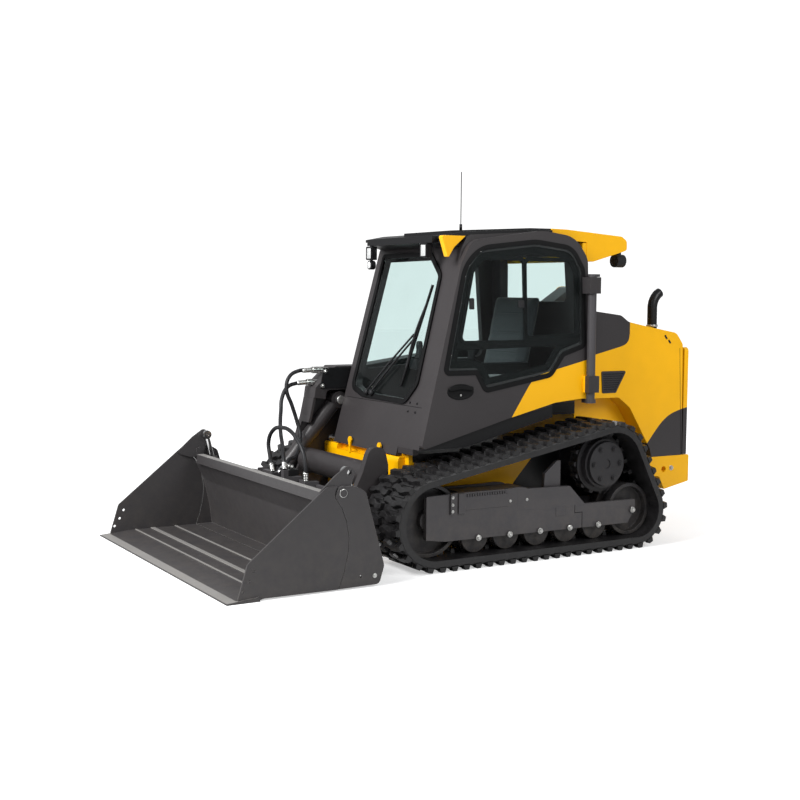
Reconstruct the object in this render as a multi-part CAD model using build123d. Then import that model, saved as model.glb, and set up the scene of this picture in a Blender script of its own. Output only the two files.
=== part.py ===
"""Compact track loader with one side arm and a clam bucket, as separate named pieces.

Millimetres, +Z up, +X towards the bucket, +Y to the machine's left, ground at Z = 0.
Every function that builds a piece returns it in the place where it stands at rest.
"""
from build123d import *
from math import atan2, cos, degrees, hypot, pi, radians, sin, sqrt, tan
import os

os.makedirs("parts", exist_ok=True)

# ---------------------------------------------------------------- helpers


def rounded_wire(points):
    """Closed wire in the XY plane; a third number on a point is its corner radius."""
    n = len(points)
    starts, ends, mids = [], [], []
    for i, p in enumerate(points):
        r = p[2] if len(p) > 2 else 0
        here = Vector(p[0], p[1])
        if not r:
            starts.append(here)
            ends.append(here)
            mids.append(None)
            continue
        before = (Vector(*points[i - 1][:2]) - here).normalized()
        after = (Vector(*points[(i + 1) % n][:2]) - here).normalized()
        half = before.get_angle(after) / 2
        reach = r / tan(radians(half))
        centre = here + (before + after).normalized() * (r / sin(radians(half)))
        starts.append(here + before * reach)
        ends.append(here + after * reach)
        mids.append(centre + (here - centre).normalized() * r)
    edges = []
    for i in range(n):
        if mids[i] is not None:
            edges.append(Edge.make_three_point_arc(starts[i], mids[i], ends[i]))
        nxt = (i + 1) % n
        if (starts[nxt] - ends[i]).length > 1e-6:
            edges.append(Edge.make_line(ends[i], starts[nxt]))
    return Wire(edges)


def prism(points, axis, low, high):
    """Prism of a closed outline: (x, z) for axis Y, (y, z) for axis X, (x, y) for axis Z."""
    face = Face(rounded_wire(points))
    if axis == "Y":
        plane, way = Plane((0, low, 0), x_dir=(1, 0, 0), z_dir=(0, -1, 0)), (0, 1, 0)
    elif axis == "X":
        plane, way = Plane((low, 0, 0), x_dir=(0, 1, 0), z_dir=(1, 0, 0)), (1, 0, 0)
    else:
        plane, way = Plane((0, 0, low)), (0, 0, 1)
    return Part() + extrude(plane.location * face, amount=high - low, dir=way)


def block(x0, x1, y0, y1, z0, z1):
    return Part() + Pos((x0 + x1) / 2, (y0 + y1) / 2, (z0 + z1) / 2) * Box(
        x1 - x0, y1 - y0, z1 - z0)


def rod_y(x, z, r, y0, y1):
    return Part() + Pos(x, (y0 + y1) / 2, z) * Rot(90, 0, 0) * Cylinder(r, y1 - y0)


def rod_x(y, z, r, x0, x1):
    return Part() + Pos((x0 + x1) / 2, y, z) * Rot(0, 90, 0) * Cylinder(r, x1 - x0)


def rod_z(x, y, r, z0, z1):
    return Part() + Pos(x, y, (z0 + z1) / 2) * Cylinder(r, z1 - z0)


def rod_between(a, b, r):
    """Round bar from point a to point b."""
    a, b = Vector(*a), Vector(*b)
    plane = Plane(a, z_dir=(b - a))
    return Part() + extrude(plane * Circle(r), amount=(b - a).length)


def mirror_y(shape):
    return Part() + mirror(shape, about=Plane.XZ)


def fuse(*shapes):
    total = Part()
    for s in shapes:
        total = total + s
    return total


def save(shape, node):
    shape.label = node
    export_step(shape, f"parts/{node}.step")
    return shape


# ---------------------------------------------------------------- tracks

BELT_IN, BELT_OUT = 562, 962          # inner and outer edge of each belt, from the middle
CARCASS, LUG = 45, 27                 # belt without lugs, and lug height
LUG_PITCH = 86
LUG_TIP = 40
LUG_ROOT = 52
# wheels the belt runs round: centre x, centre z, running radius
FRONT_IDLER = (440, 294, 222)
SPROCKET = (-909, 555, 212)
REAR_IDLER = (-1115, 243, 171)
WHEELS = (FRONT_IDLER, SPROCKET, REAR_IDLER)
ROLLER_X = (107, -127, -361, -595, -829)
ROLLER_Z = 170
ROLLER_R = ROLLER_Z - CARCASS - LUG


def loop_parts(offset):
    """Arcs and straights of the belt loop at an offset outside the wheels, counter-clockwise."""
    out = []
    n = len(WHEELS)
    tangents = []
    for i in range(n):
        ax, az, ar = WHEELS[i]
        bx, bz, br = WHEELS[(i + 1) % n]
        ar, br = ar + offset, br + offset
        way = atan2(bz - az, bx - ax)
        lean = (br - ar) / hypot(bx - ax, bz - az)
        normal = way - pi / 2 - atan2(lean, sqrt(1 - lean * lean))
        tangents.append(normal)
    for i in range(n):
        x, z, r = WHEELS[i]
        r += offset
        start, stop = tangents[i - 1], tangents[i]
        while stop < start:
            stop += 2 * pi
        out.append(("arc", x, z, r, start, stop))
        nx, nz, nr = WHEELS[(i + 1) % n]
        out.append(("line", x + r * cos(stop), z + r * sin(stop),
                    nx + (nr + offset) * cos(stop), nz + (nr + offset) * sin(stop), stop))
    return out


def loop_length(offset):
    total = 0
    for p in loop_parts(offset):
        total += p[3] * (p[5] - p[4]) if p[0] == "arc" else hypot(p[3] - p[1], p[4] - p[2])
    return total


def loop_point(s, offset):
    """Point (x, z) and outward angle at path length s along the loop."""
    for p in loop_parts(offset):
        run = p[3] * (p[5] - p[4]) if p[0] == "arc" else hypot(p[3] - p[1], p[4] - p[2])
        if s <= run:
            if p[0] == "arc":
                a = p[4] + s / p[3]
                return p[1] + p[3] * cos(a), p[2] + p[3] * sin(a), a
            t = s / run
            return p[1] + (p[3] - p[1]) * t, p[2] + (p[4] - p[2]) * t, p[5]
        s -= run
    return loop_point(0, offset)


def loop_wire(offset):
    """The belt loop at an offset outside the wheels, as a wire of true arcs and lines."""
    edges = []
    for p in loop_parts(offset):
        if p[0] == "arc":
            ends = [Vector(p[1] + p[3] * cos(a), p[2] + p[3] * sin(a))
                    for a in (p[4], (p[4] + p[5]) / 2, p[5])]
            edges.append(Edge.make_three_point_arc(*ends))
        else:
            edges.append(Edge.make_line(Vector(p[1], p[2]), Vector(p[3], p[4])))
    return Wire(edges)


def belt_half(y0, y1, stagger):
    """One half of the belt's width with its lugs, as one toothed ring."""
    length = loop_length(CARCASS)
    count = round(length / LUG_PITCH)
    step = length / count
    outer = []
    for i in range(count):
        middle = (i + stagger) * step
        for along, height in ((-LUG_ROOT / 2, 0), (-LUG_TIP / 2, LUG),
                              (LUG_TIP / 2, LUG), (LUG_ROOT / 2, 0)):
            x, z, a = loop_point((middle + along) % length, CARCASS)
            outer.append((x + height * cos(a), z + height * sin(a)))
    plane = Plane((0, y0 - 1, 0), x_dir=(1, 0, 0), z_dir=(0, -1, 0))
    hole = Part() + extrude(plane.location * Face(loop_wire(0)), amount=y1 - y0 + 2, dir=(0, 1, 0))
    return prism(outer, "Y", y0, y1) - hole


def belt():
    middle = (BELT_IN + BELT_OUT) / 2
    return fuse(belt_half(BELT_IN, middle, 0), belt_half(middle, BELT_OUT, 0.5))


SPROCKET_TEETH = 15
HUB_R = 142
GROOVE = 36                           # half width of the wheels' groove for the guide lugs


def sprocket():
    x, z, r = SPROCKET
    middle = (BELT_IN + BELT_OUT) / 2
    disc = rod_y(x, z, r - 34, middle - 22, middle + 22)
    teeth = [rod_y(x + (r - 21) * cos(a), z + (r - 21) * sin(a), 15, middle - 30, middle + 30)
             for a in (2 * pi * i / SPROCKET_TEETH for i in range(SPROCKET_TEETH))]
    rims = [rod_y(x, z, r - 24, y, y + 12) for y in (middle - 42, middle + 30)]
    drum = rod_y(x, z, 160, middle, middle + 88) - rod_y(x, z, 145, middle + 60, middle + 89)
    hub = rod_y(x, z, HUB_R - 10, 534, middle + 100)
    cap = rod_y(x, z, HUB_R, middle + 80, middle + 112)
    cap = cap - rod_y(x, z, 30, middle + 106, middle + 120)
    bolts = [rod_y(x + 108 * cos(a), z + 108 * sin(a), 9, middle + 104, middle + 118)
             for a in (2 * pi * i / 6 for i in range(6))]
    return fuse(disc, *rims, drum, hub, cap, *bolts, *teeth)


def wheel(x, z, r, y0, y1, hub, web):
    """Wheel with a rim on each side of a middle groove, thinner webs and a hub."""
    full = rod_y(x, z, r, y0, y1)
    dish = rod_y(x, z, r - 24, y0 - 1, y0 + web) + rod_y(x, z, r - 24, y1 - web, y1 + 1)
    keep = rod_y(x, z, hub, y0 - 2, y1 + 2)
    middle = (y0 + y1) / 2
    groove = rod_y(x, z, r + 1, middle - GROOVE, middle + GROOVE) - rod_y(
        x, z, r - 42, middle - GROOVE - 1, middle + GROOVE + 1)
    return full - (dish - keep) - groove


FRAME_OUT = 885                       # outer face of the track frame
FRAME_IN = 640
WHEEL_HALF = 93                       # half width of the idlers and rollers


def rollers():
    """The seven plain wheels of one track: two idlers and five bottom rollers."""
    middle = (BELT_IN + BELT_OUT) / 2
    low, high = middle - WHEEL_HALF, middle + WHEEL_HALF
    out = [wheel(*FRONT_IDLER, low, high, 62, 44), wheel(*REAR_IDLER, low, high, 52, 44)]
    out += [rod_y(x, ROLLER_Z, ROLLER_R, low, high) -
            rod_y(x, ROLLER_Z, ROLLER_R + 1, middle - GROOVE, middle + GROOVE) +
            rod_y(x, ROLLER_Z, 55, middle - GROOVE - 1, middle + GROOVE + 1) for x in ROLLER_X]
    return fuse(*out)


def track_frame():
    """Frame plates of one track, with the wheels' bolts and the arms to the chassis."""
    side = [(476, 185), (476, 445, 8), (304, 448), (296, 452), (204, 452), (-106, 452),
            (-190, 456), (-250, 450), (-345, 402, 20), (-450, 314, 30), (-1145, 310, 12),
            (-1145, 245), (-1105, 190, 30), (-1085, 158), (340, 166)]
    outer = prism(side, "Y", FRAME_OUT - 30, FRAME_OUT)
    inner = prism(side, "Y", FRAME_IN - 20, FRAME_IN)
    beam = prism([(180, 275), (180, 440), (-300, 440), (-440, 310), (-440, 275)], "Y",
                 FRAME_IN - 1, FRAME_OUT - 29)
    bolts = [rod_y(x, ROLLER_Z, 17, FRAME_OUT - 1, FRAME_OUT + 12) for x in ROLLER_X]
    bolts.append(rod_y(REAR_IDLER[0], REAR_IDLER[1], 22, FRAME_OUT - 1, FRAME_OUT + 12))
    low = (BELT_IN + BELT_OUT) / 2 - WHEEL_HALF
    stubs = [rod_y(x, z, 30, FRAME_IN - 1, low) for x, z in
             [(x, ROLLER_Z) for x in ROLLER_X] + [w[:2] for w in (FRONT_IDLER, REAR_IDLER)]]
    arms = [block(x0, x1, 534, FRAME_IN - 19, 262, 400) for x0, x1 in ((-60, 60), (-620, -520))]
    arms[1] = block(-620, -520, 534, FRAME_IN - 19, 180, 300)
    return fuse(outer, inner, beam, *bolts, *stubs, *arms)


# ---------------------------------------------------------------- lift arm geometry

PIN_GAP = 0.4                         # running gap round a pin

ARM_IN, ARM_OUT = -385, -545          # the arm's left and right face
LIFT_PIVOT = (-1662, 1600)
LIFT_EYE = (-1355.6, 1342.9)
LIFT_FOOT = (-1386, 696)
CYL_Y = -442                          # plane of the tilt cylinder
LIFT_Y = (ARM_IN + ARM_OUT) / 2       # plane of the lift cylinder
TILT_PIVOT = (860, 170)
TILT_HEAD = (376, 921)                # barrel pin on the arm
TILT_EYE = (848, 380)                 # rod pin on the hitch
CROSS = (620, 528)                    # cross tube
CROSS_R = 80
CHEEK = 16
WEB_Y = -497                          # inner face of the leg's side plate
LEG_FRONT = ((600, 812, 200), (640, 680, 200), (700, 488, 120), (800, 330, 120))
ARM_SIDE = [(-1770, 1560, 90), (-1700, 1712, 90), (-1612, 1705, 60), (-1037, 1344, 160),
            (-712, 1270, 200), (188, 1150, 60), (412, 1150, 20), (562, 1008, 10),
            (572, 940), (300, 905, 60), (188, 930, 80), (-662, 1040, 200),
            (-1112, 1130, 120), (-1560, 1452, 60)]
FOOT_END = ((912, 170, 52), (860, 118, 45), (770, 118, 40))


def boom_arm():
    """Hollow box arm from the rear pivot to the knee, open underneath at the lift cylinder."""
    inside = [(-1900, 1560), (-1720, 1690), (-1620, 1688), (-1044, 1326), (-715, 1254),
              (186, 1134), (404, 1134), (500, 1044), (480, 946), (300, 922), (192, 946),
              (-655, 1057), (-1000, 1118), (-1130, 1080), (-1560, 1400), (-1900, 1400)]
    # opening on the left and below, round the head of the tilt cylinder
    window = [(262, 800), (262, 990, 40), (480, 990, 30), (500, 800)]
    arm = prism(ARM_SIDE, "Y", ARM_OUT, ARM_IN) - prism(inside, "Y", ARM_OUT + CHEEK, ARM_IN - CHEEK)
    arm = arm - prism(window, "Y", WEB_Y, ARM_IN + 1)
    arm = fuse(arm, rod_y(*LIFT_PIVOT, 62, ARM_OUT - 6, ARM_IN + 6))
    arm = arm - rod_y(*LIFT_PIVOT, 26, -700, -200)
    eye_caps = [rod_y(*LIFT_EYE, 42, y, y + 9) for y in (ARM_OUT - 8, ARM_IN - 1)]
    boss = rod_y(*TILT_HEAD, 60, ARM_OUT + 1, WEB_Y)
    pin = rod_y(*TILT_HEAD, 22 - PIN_GAP, ARM_OUT + 1, ARM_IN + 6)
    head = rod_y(*TILT_HEAD, 38, ARM_IN - 4, ARM_IN + 8)
    return fuse(arm, *eye_caps, boss, pin, head)


def boom_foot():
    """Leg below the knee, the cross tube and the left lug that carries the hitch."""
    web = prism([(572, 939.5), *LEG_FRONT, *FOOT_END, (600, 330, 80), (480, 430, 60),
                 (440, 600, 80), (360, 912)], "Y", ARM_OUT, WEB_Y)
    flange = prism([(572, 939.5), (600, 812, 200), (611, 775), (592, 775), (582, 808, 200),
                    (553, 936)], "Y", WEB_Y - 1, ARM_IN - 10)
    lower = prism([(655, 620, 30), (700, 488, 120), (800, 330, 120), *FOOT_END, (560, 330, 80),
                   (500, 470, 60), (530, 560, 30)], "Y", ARM_IN, ARM_IN + 20)
    elbow = prism([(520, 430, 20), (540, 540, 30), (600, 540, 30), (650, 490, 20),
                   (660, 430, 20)], "Y", WEB_Y - 1, ARM_IN + 1)
    lug = prism([(540, 600, 60), (568, 712, 60), (668, 712, 60), (720, 560, 60), *FOOT_END,
                 (540, 430, 60)], "Y", 498, -ARM_OUT)
    tube = rod_y(*CROSS, CROSS_R, ARM_IN + 10, 499)
    leg = fuse(web, flange, lower, elbow, lug, tube) - prism(ARM_SIDE, "Y", -600, -300)
    leg = leg - rod_y(*TILT_HEAD, 60, -600, -300)
    return leg - rod_y(*TILT_PIVOT, 25, -600, 600)


def knee_cover():
    """Bolted plate over the left side of the knee."""
    return prism([(250, 1000, 20), (250, 1142, 20), (508, 1142, 12), (532, 1000, 12)], "Y",
                 ARM_IN, ARM_IN + 6)


COUPLER_Y = -470
COUPLERS = ((525, 600, 1040), (440, 560, 1122))     # root x, tip x, z


def couplers():
    """Two quick couplers that look forward out of the knee."""
    out = []
    for root, tip, z in COUPLERS:
        out.append(fuse(rod_x(COUPLER_Y, z, 17, root - 20, tip),
                        rod_x(COUPLER_Y, z, 23, root + 22, tip - 14)))
    return fuse(*out) - prism(ARM_SIDE, "Y", -600, -300)


def pipe(points, r, start):
    """Round hose along a smooth curve that leaves along start and ends straight down."""
    path = Edge.make_spline([Vector(*p) for p in points],
                            tangents=[Vector(*start), Vector(0, 0, -1)])
    return Part() + sweep(Plane(origin=path @ 0, z_dir=path % 0) * Circle(r), path=path)


HOSE_R = 13
UPPER_HOSE = ((560.3, -470, 1122), (650, -470, 1118), (722, -462, 1080), (748, -450, 1000),
              (712, -440, 890), (684, -425, 790), (680, -380, 700), (715, -320, 630),
              (790, -230, 575), (890, -140, 560), (935, -110, 500))
LOWER_HOSE = ((600.3, -470, 1040), (660, -470, 1036), (735, -462, 1012), (785, -440, 945),
              (815, -395, 865), (860, -310, 800), (910, -200, 740), (965, -60, 680),
              (1010, 50, 620), (1030, 110, 545))
ARCH_HOSE = ((1000, -130, 500), (1000, -170, 600), (1000, -190, 690), (1000, -120, 770),
             (1000, 0, 797), (1000, 120, 790), (1000, 220, 745), (1000, 300, 680),
             (1000, 336, 600), (1000, 340, 500))


def cylinder(foot, eye, y, barrel_r, rod_r, gland, rod_len, eye_r, eye_w, ear_r, ear_w):
    """Barrel and rod of a hydraulic cylinder from foot to eye, both as (x, z)."""
    dx, dz = eye[0] - foot[0], eye[1] - foot[1]
    length = hypot(dx, dz)
    ux, uz = dx / length, dz / length

    def at(d):
        return (foot[0] + ux * d, y, foot[1] + uz * d)

    tube = rod_between(at(ear_r - 4), at(gland - 30), barrel_r)
    head = rod_between(at(gland - 31), at(gland), barrel_r + 3)
    ear = rod_y(foot[0], foot[1], ear_r, y - ear_w / 2, y + ear_w / 2)
    bore = rod_between(at(ear_r + 12), at(gland + 1), rod_r + PIN_GAP)
    barrel = fuse(tube, ear, head) - bore
    rod = rod_between(at(length - rod_len), at(length - eye_r / 2), rod_r)
    tip = rod_y(eye[0], eye[1], eye_r, y - eye_w / 2, y + eye_w / 2)
    return barrel, fuse(rod, tip)


# ---------------------------------------------------------------- bucket

HALF = 1067                           # half width over the side plates
PLATE = 12
CLAM_PIVOT = (1133, 543)
CLAM_EYE = (1088, 654)
CLAM_FOOT = (934, 60)
CLAM_CYL_Y = 1017
LIP_X = 1833
LIP_OVER = 12
RIB_Y = (-484, -380, 0, 380, 484)
HITCH_X = 941                         # face where the bucket meets the hitch
SEAM = 4                              # gap between clam and end plate
# seam between end plate and clam side, from top to bottom
SEAM_LINE = ((1180, 522), (1140, 462), (1110, 384), (1093, 294), (1100, 204), (1123, 100),
             (1146, 39), (1158, 9))


def clam():
    """Side plates, floor and lip that swing about the top pins."""
    side = [(1165, 585, 8), (1235, 584, 40), (1290, 541, 60), (1708, 204, 30), (1766, 12, 6),
            (1162, 8)]
    side += [(x + SEAM, z) for x, z in reversed(SEAM_LINE[:-1])]
    plate = prism(side, "Y", HALF - PLATE, HALF)
    plate = plate - rod_y(*CLAM_PIVOT, 52, HALF - PLATE - 1, HALF + 1)
    lever = prism([(CLAM_EYE[0] - 38, CLAM_EYE[1] + 4, 30), (CLAM_EYE[0] + 8, CLAM_EYE[1] + 42, 30),
                   (1180, 640, 60), (1300, 533, 20), (1200, 500, 20), (1165, 500, 20),
                   (1108, 506, 20)], "Y", HALF - PLATE - 12, HALF - PLATE)
    sides = fuse(plate, lever) - rod_y(*CLAM_PIVOT, 22, 0, HALF - PLATE + 1)
    sides = sides - rod_y(*CLAM_EYE, 16, 0, HALF + 1)
    holes = [rod_y(x, z, 9, HALF - 40, HALF + 1) for x, z in ((1735, 60), (1700, 110), (1672, 165))]
    for h in holes:
        sides = sides - h
    floor = prism([(1165, 10), (1165, 26), (1640, 26), (LIP_X, 6), (LIP_X, 0), (1640, 0),
                   (1600, 10)], "Y", -HALF + PLATE - 1, HALF - PLATE + 1)
    lip = prism([(1640, 0), (1640, 22), (LIP_X - 4, 6), (LIP_X, 0)], "Y",
                -HALF - LIP_OVER, HALF + LIP_OVER)
    return fuse(sides, mirror_y(sides), floor, lip)


def bucket_back():
    """Fixed rear half: end plates, back sheet, top rail, bottom plate and ribs."""
    seam = [(x, z) for x, z in SEAM_LINE]
    end = [(1050, 575, 20), (990, 540, 40), (868, 114, 40), (900, 12, 30), (1158, 9)]
    end += list(reversed(seam[:-1]))
    end += [(1168, 560, 20), (1150, 582, 20), (1090, 582, 20)]
    plate = prism(end, "Y", HALF - PLATE, HALF)
    plate = plate - rod_y(1020, 66, 8, 0, HALF + 1)
    plate = fuse(plate, rod_y(*CLAM_PIVOT, 22 - PIN_GAP, HALF - PLATE - 14, HALF + 3),
                 rod_y(*CLAM_PIVOT, 42, HALF - PLATE, HALF),
                 rod_y(*CLAM_FOOT, 15 - PIN_GAP, CLAM_CYL_Y - 26, HALF - PLATE + 1))
    sheet = prism([(1018, 24), (1038, 150), (1078, 330), (1150, 470), (1160, 465), (1090, 325),
                   (1050, 148), (1032, 24)], "Y", -HALF + PLATE - 1, HALF - PLATE + 1)
    relief = block(1094, 1170, HALF - PLATE - 15, HALF, 345, 500)   # room for the clam's sides
    sheet = sheet - relief - mirror_y(relief)
    rail = prism([(1128, 465), (1128, 525), (1178, 525), (1178, 465)], "Y", -975, 975)
    bottom = block(930, 1150, -HALF + PLATE - 1, HALF - PLATE + 1, 10, 26)
    ribs = [prism([(HITCH_X, 20), (HITCH_X, 470, 20), (1140, 500), (1140, 460), (1070, 320),
                   (1030, 140), (1020, 20)], "Y", y - 7, y + 7) for y in RIB_Y]
    return fuse(plate, mirror_y(plate), sheet, rail, bottom, *ribs)


# hose ports on the top bar: x from, x to, y, top
PORTS = ((920, 960, -110, 499.7), (970, 1015, -130, 499.7), (920, 970, -130, 490),
         (920, 1046, 110, 500), (1014, 1046, 110, 544.7), (920, 1016, 340, 499.7))


def quick_hitch():
    """Hitch frame between the arm and the bucket."""
    x, z = TILT_PIVOT
    ear = prism([(x - 50, z + 4, 45), (x + 4, z - 50, 45), (HITCH_X, 118), (HITCH_X, 480, 20),
                 (880, 480, 40), (804, 400, 40), (804, 350, 40)], "Y", -490, -478)
    inner = prism([(804, 345, 30), (804, 400, 40), (880, 480, 40), (HITCH_X, 480),
                   (HITCH_X, 240), (880, 240, 10)], "Y", -406, -394)
    pins = [rod_y(x, z, 25 - PIN_GAP, y0, y1) for y0, y1 in ((ARM_OUT, ARM_IN + 20), (470, 545))]
    face = block(HITCH_X - 15, HITCH_X, -490, 490, 110, 260)
    top = block(HITCH_X - 26, HITCH_X, -490, 490, 452, 480) - block(800, 1000, -478, -406, 440, 490)
    bracket = prism([(x - 50, z + 4, 45), (x + 4, z - 50, 45), (HITCH_X, 118), (HITCH_X, 480),
                     (900, 480, 30)], "Y", 478, 490)
    ports = [block(x0, x1, y - 20, y + 20, 470, z1) for x0, x1, y, z1 in PORTS]
    return fuse(ear, inner, bracket, face, top, *pins, *ports)


# ---------------------------------------------------------------- chassis

DECK_Z = 650
CHASSIS_REAR = -1446


def chassis_frame():
    """Welded tub under the cab with its front beam, hook eyes and legs."""
    tub = prism([(388, 300, 40), (388, DECK_Z), (CHASSIS_REAR, DECK_Z), (CHASSIS_REAR, 270),
                 (340, 232)], "Y", -534, 534)
    inside = prism([(360, 320), (360, DECK_Z - 12), (CHASSIS_REAR + 16, DECK_Z - 12),
                    (CHASSIS_REAR + 16, 292), (330, 256)], "Y", -514, 514)
    beam = block(387, 440, -330, 330, 540, 598)
    hooks = [prism([(y - 14, 597), (y - 7, 640), (y - 22, 680, 8), (y, 716, 16), (y + 22, 680, 8),
                    (y + 7, 640), (y + 14, 597)], "X", 435, 447) for y in (-123, 262)]
    legs = [prism([(387, 440), (387, 634, 10), (432, 634, 10), (440, 598), (424, 440)], "Y",
                  y0, y1) for y0, y1 in ((312, 490), (-490, -312))]
    return fuse(tub - inside, beam, *hooks, *legs)


BODY_REAR = -1764                     # end of the body, the rear door follows
DOOR_PIN = (-1806, -345)              # hinge of the rear door
KNUCKLES = ((640, 700), (1150, 1210))


def tower():
    """Two plates on the right that hold the arm's pivot and the lift cylinder's foot."""
    side = [(-1780, DECK_Z), (-1780, 1560, 80), (-1720, 1710, 70), (-1610, 1710, 70),
            (-1330, 900, 60), (-1310, DECK_Z)]
    plates = [prism(side, "Y", -580, -562), prism(side, "Y", -368, -350)]
    back = block(-1790, -1778, -580, -350, DECK_Z, 1500)
    base = block(-1790, -1310, -580, -350, DECK_Z - 16, DECK_Z)
    stand = block(-1790, CHASSIS_REAR, -580, -350, 540, DECK_Z - 15)
    pins = [rod_y(*LIFT_PIVOT, 26 - PIN_GAP, -584, -342), rod_y(*LIFT_FOOT, 21 - PIN_GAP, -584, -342)]
    base = base - block(CHASSIS_REAR, -1300, -534, -340, 600, 700)
    x, y = DOOR_PIN
    hinges = []
    for low, high in KNUCKLES:
        hinges.append(rod_z(x, y, 8 - PIN_GAP, low - 19, high + 19))
        for z in (low - 20, high + 1):
            hinges += [rod_z(x, y, 14, z, z + 19), block(x - 14, -1788, y - 20, y, z, z + 19)]
    return fuse(*plates, back, base, stand, *pins, *hinges)


# ---------------------------------------------------------------- cab

CAB_RIGHT = -370
CAB_REAR = -898
WALL = 45


def cab_front(z, back=0):
    return 418 - 0.272 * (z - 700) - back


def cab_left(z):
    return 700 - 0.0454 * (z - 700)


def cab_rear(z):
    return CAB_REAR - 0.1 + 0.0067 * (z - 855)


CAB_SIDE = [(cab_front(697), 697), (cab_front(1930), 1930, 40), (40, 2010, 40),
            (-520, 2048, 300), (-760, 2030, 200), (-890, 1900, 150), (CAB_REAR, 855),
            (-592, 855), (90, 697)]


def lean_box(points, inset):
    """Prism of a side outline whose left face leans in; inset moves all side faces inwards."""
    low, high = 600, 2150
    body = prism(points, "Y", CAB_RIGHT + inset, 760)
    cut = prism([(cab_left(low) - inset, low), (cab_left(high) - inset, high), (900, high),
                 (900, low)], "X", -1000, 700)
    return body - cut


def cab_shell():
    """Hollow cab with its openings; the left rear corner steps over the fender."""
    inner = [(cab_front(740, WALL), 740), (cab_front(1900, WALL), 1900, 40), (0, 1975, 20),
             (-820, 1995, 60), (CAB_REAR + WALL, 930), (-150, 930), (-150, 740)]
    shell = lean_box(CAB_SIDE, 0) - lean_box(inner, WALL)
    arch = block(-920, -600, 548, 760, 840, 985)
    shell = fuse(shell, block(CAB_REAR + 20, -580, 520, 650, 920, 1015)) - arch
    windscreen = prism([(-255, 1030, 60), (-120, 990, 60), (412, 980, 60), (500, 1090, 60),
                        (470, 1760, 60), (310, 1880, 20), (-255, 1880, 20)], "X", 0, 500)
    doorway = prism([(330, 790, 30), (95, 1790, 60), (20, 1900, 60), (-700, 1960, 80),
                     (-815, 1850, 80), (-815, 1020, 30), (-232, 920, 20)], "Y", 400, 800)
    right = prism([(230, 1130, 40), (80, 1850, 60), (-700, 1900, 80), (-760, 1200, 60)], "Y",
                  -450, -300)
    rear = prism([(-220, 1600, 30), (520, 1600, 30), (500, 1900, 30), (-220, 1900, 30)], "X",
                 -950, -800)
    apron = prism([(391, 642), (cab_front(642), 642), (cab_front(698), 698), (391, 698)], "Y",
                  CAB_RIGHT, 455)
    skirt = block(391, 424, 463, 640, 660, 698)
    return fuse(shell - windscreen - doorway - right - rear, apron, skirt)


def cab_solid():
    """The cab's outside as one block, to cut neighbours against."""
    return lean_box(CAB_SIDE, 0)


def glass_front():
    pane = prism([(-285, 1010, 70), (-115, 968, 70), (425, 962, 70), (522, 1085, 70),
                  (492, 1768, 70), (318, 1902, 20), (-285, 1902, 20)], "X", -100, 500)
    slab = prism([(cab_front(900), 900), (cab_front(1950), 1950),
                  (cab_front(1950) + 6, 1950), (cab_front(900) + 6, 900)], "Y", -400, 700)
    return pane & slab


def glass_rest():
    right = prism([(245, 1115, 40), (92, 1865, 60), (-712, 1915, 80), (-775, 1185, 60)], "Y",
                  CAB_RIGHT - 6, CAB_RIGHT)
    rear = prism([(-240, 1580, 30), (540, 1580, 30), (520, 1915, 30), (-240, 1915, 30)], "X",
                 -900, -800)
    low, high = 1560, 1930
    slab = prism([(cab_rear(low), low), (cab_rear(high), high), (cab_rear(high) - 6, high),
                  (cab_rear(low) - 6, low)], "Y", -300, 600)
    return fuse(right, rear & slab)


DOOR_OUTLINE = [(428, 700, 20), (121, 1830, 150), (40, 1975, 120), (-500, 2052, 400),
                (-770, 2020, 200), (-872, 1880, 120), (-872, 978, 10), (-592, 954, 40),
                (-232, 870, 200)]
DOOR_T = 38
DOOR_GAP = 5


def lean_slab(points, low, high):
    """Prism of a side outline between two faces parallel to the cab's leaning left side."""
    slab = prism([(cab_left(600) + low, 600), (cab_left(2150) + low, 2150),
                  (cab_left(2150) + high, 2150), (cab_left(600) + high, 600)], "X", -1000, 700)
    return prism(points, "Y", 500, 900) & slab


def door_frame():
    outer = lean_slab(DOOR_OUTLINE, DOOR_GAP, DOOR_GAP + DOOR_T)
    window = [(215, 1190, 10), (75, 1790, 120), (-20, 1900, 100), (-450, 1950, 300),
              (-730, 1920, 120), (-802, 1800, 80), (-802, 1340, 20), (-640, 1290, 60),
              (-540, 1160, 60), (-50, 1080, 20), (15, 1190, 20)]
    frame = outer - lean_slab(window, -10, 80)
    knuckles = [block(-905, -820, cab_left(z0) + DOOR_GAP + DOOR_T - 10, 786, z0, z1)
                for z0, z1 in ((1012, 1120), (1654, 1760))]
    return fuse(frame, *knuckles) - rod_z(*HINGE, TUBE_R + 1, 900, 1900)


def door_glass():
    grown = [(230, 1176, 10), (82, 1800, 120), (-20, 1915, 100), (-450, 1964, 300),
             (-735, 1932, 120), (-815, 1805, 80), (-815, 1326, 20), (-650, 1276, 60),
             (-548, 1146, 60), (-56, 1064, 20), (8, 1176, 20)]
    return lean_slab(grown, DOOR_GAP + DOOR_T, DOOR_GAP + DOOR_T + 6)


HINGE = (-864, 749)
TUBE_R = 28


def door_post():
    """Upright tube beside the door with its two brackets."""
    post = rod_z(*HINGE, TUBE_R, 942, 1780)
    feet = [block(-908, -880, 600, 770, 1762, 1780), block(-908, -848, 744, 770, 1762, 1780),
            block(-892, -840, BODY, 770, 942, 967)]
    return fuse(post, *feet) - cab_solid()


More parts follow.
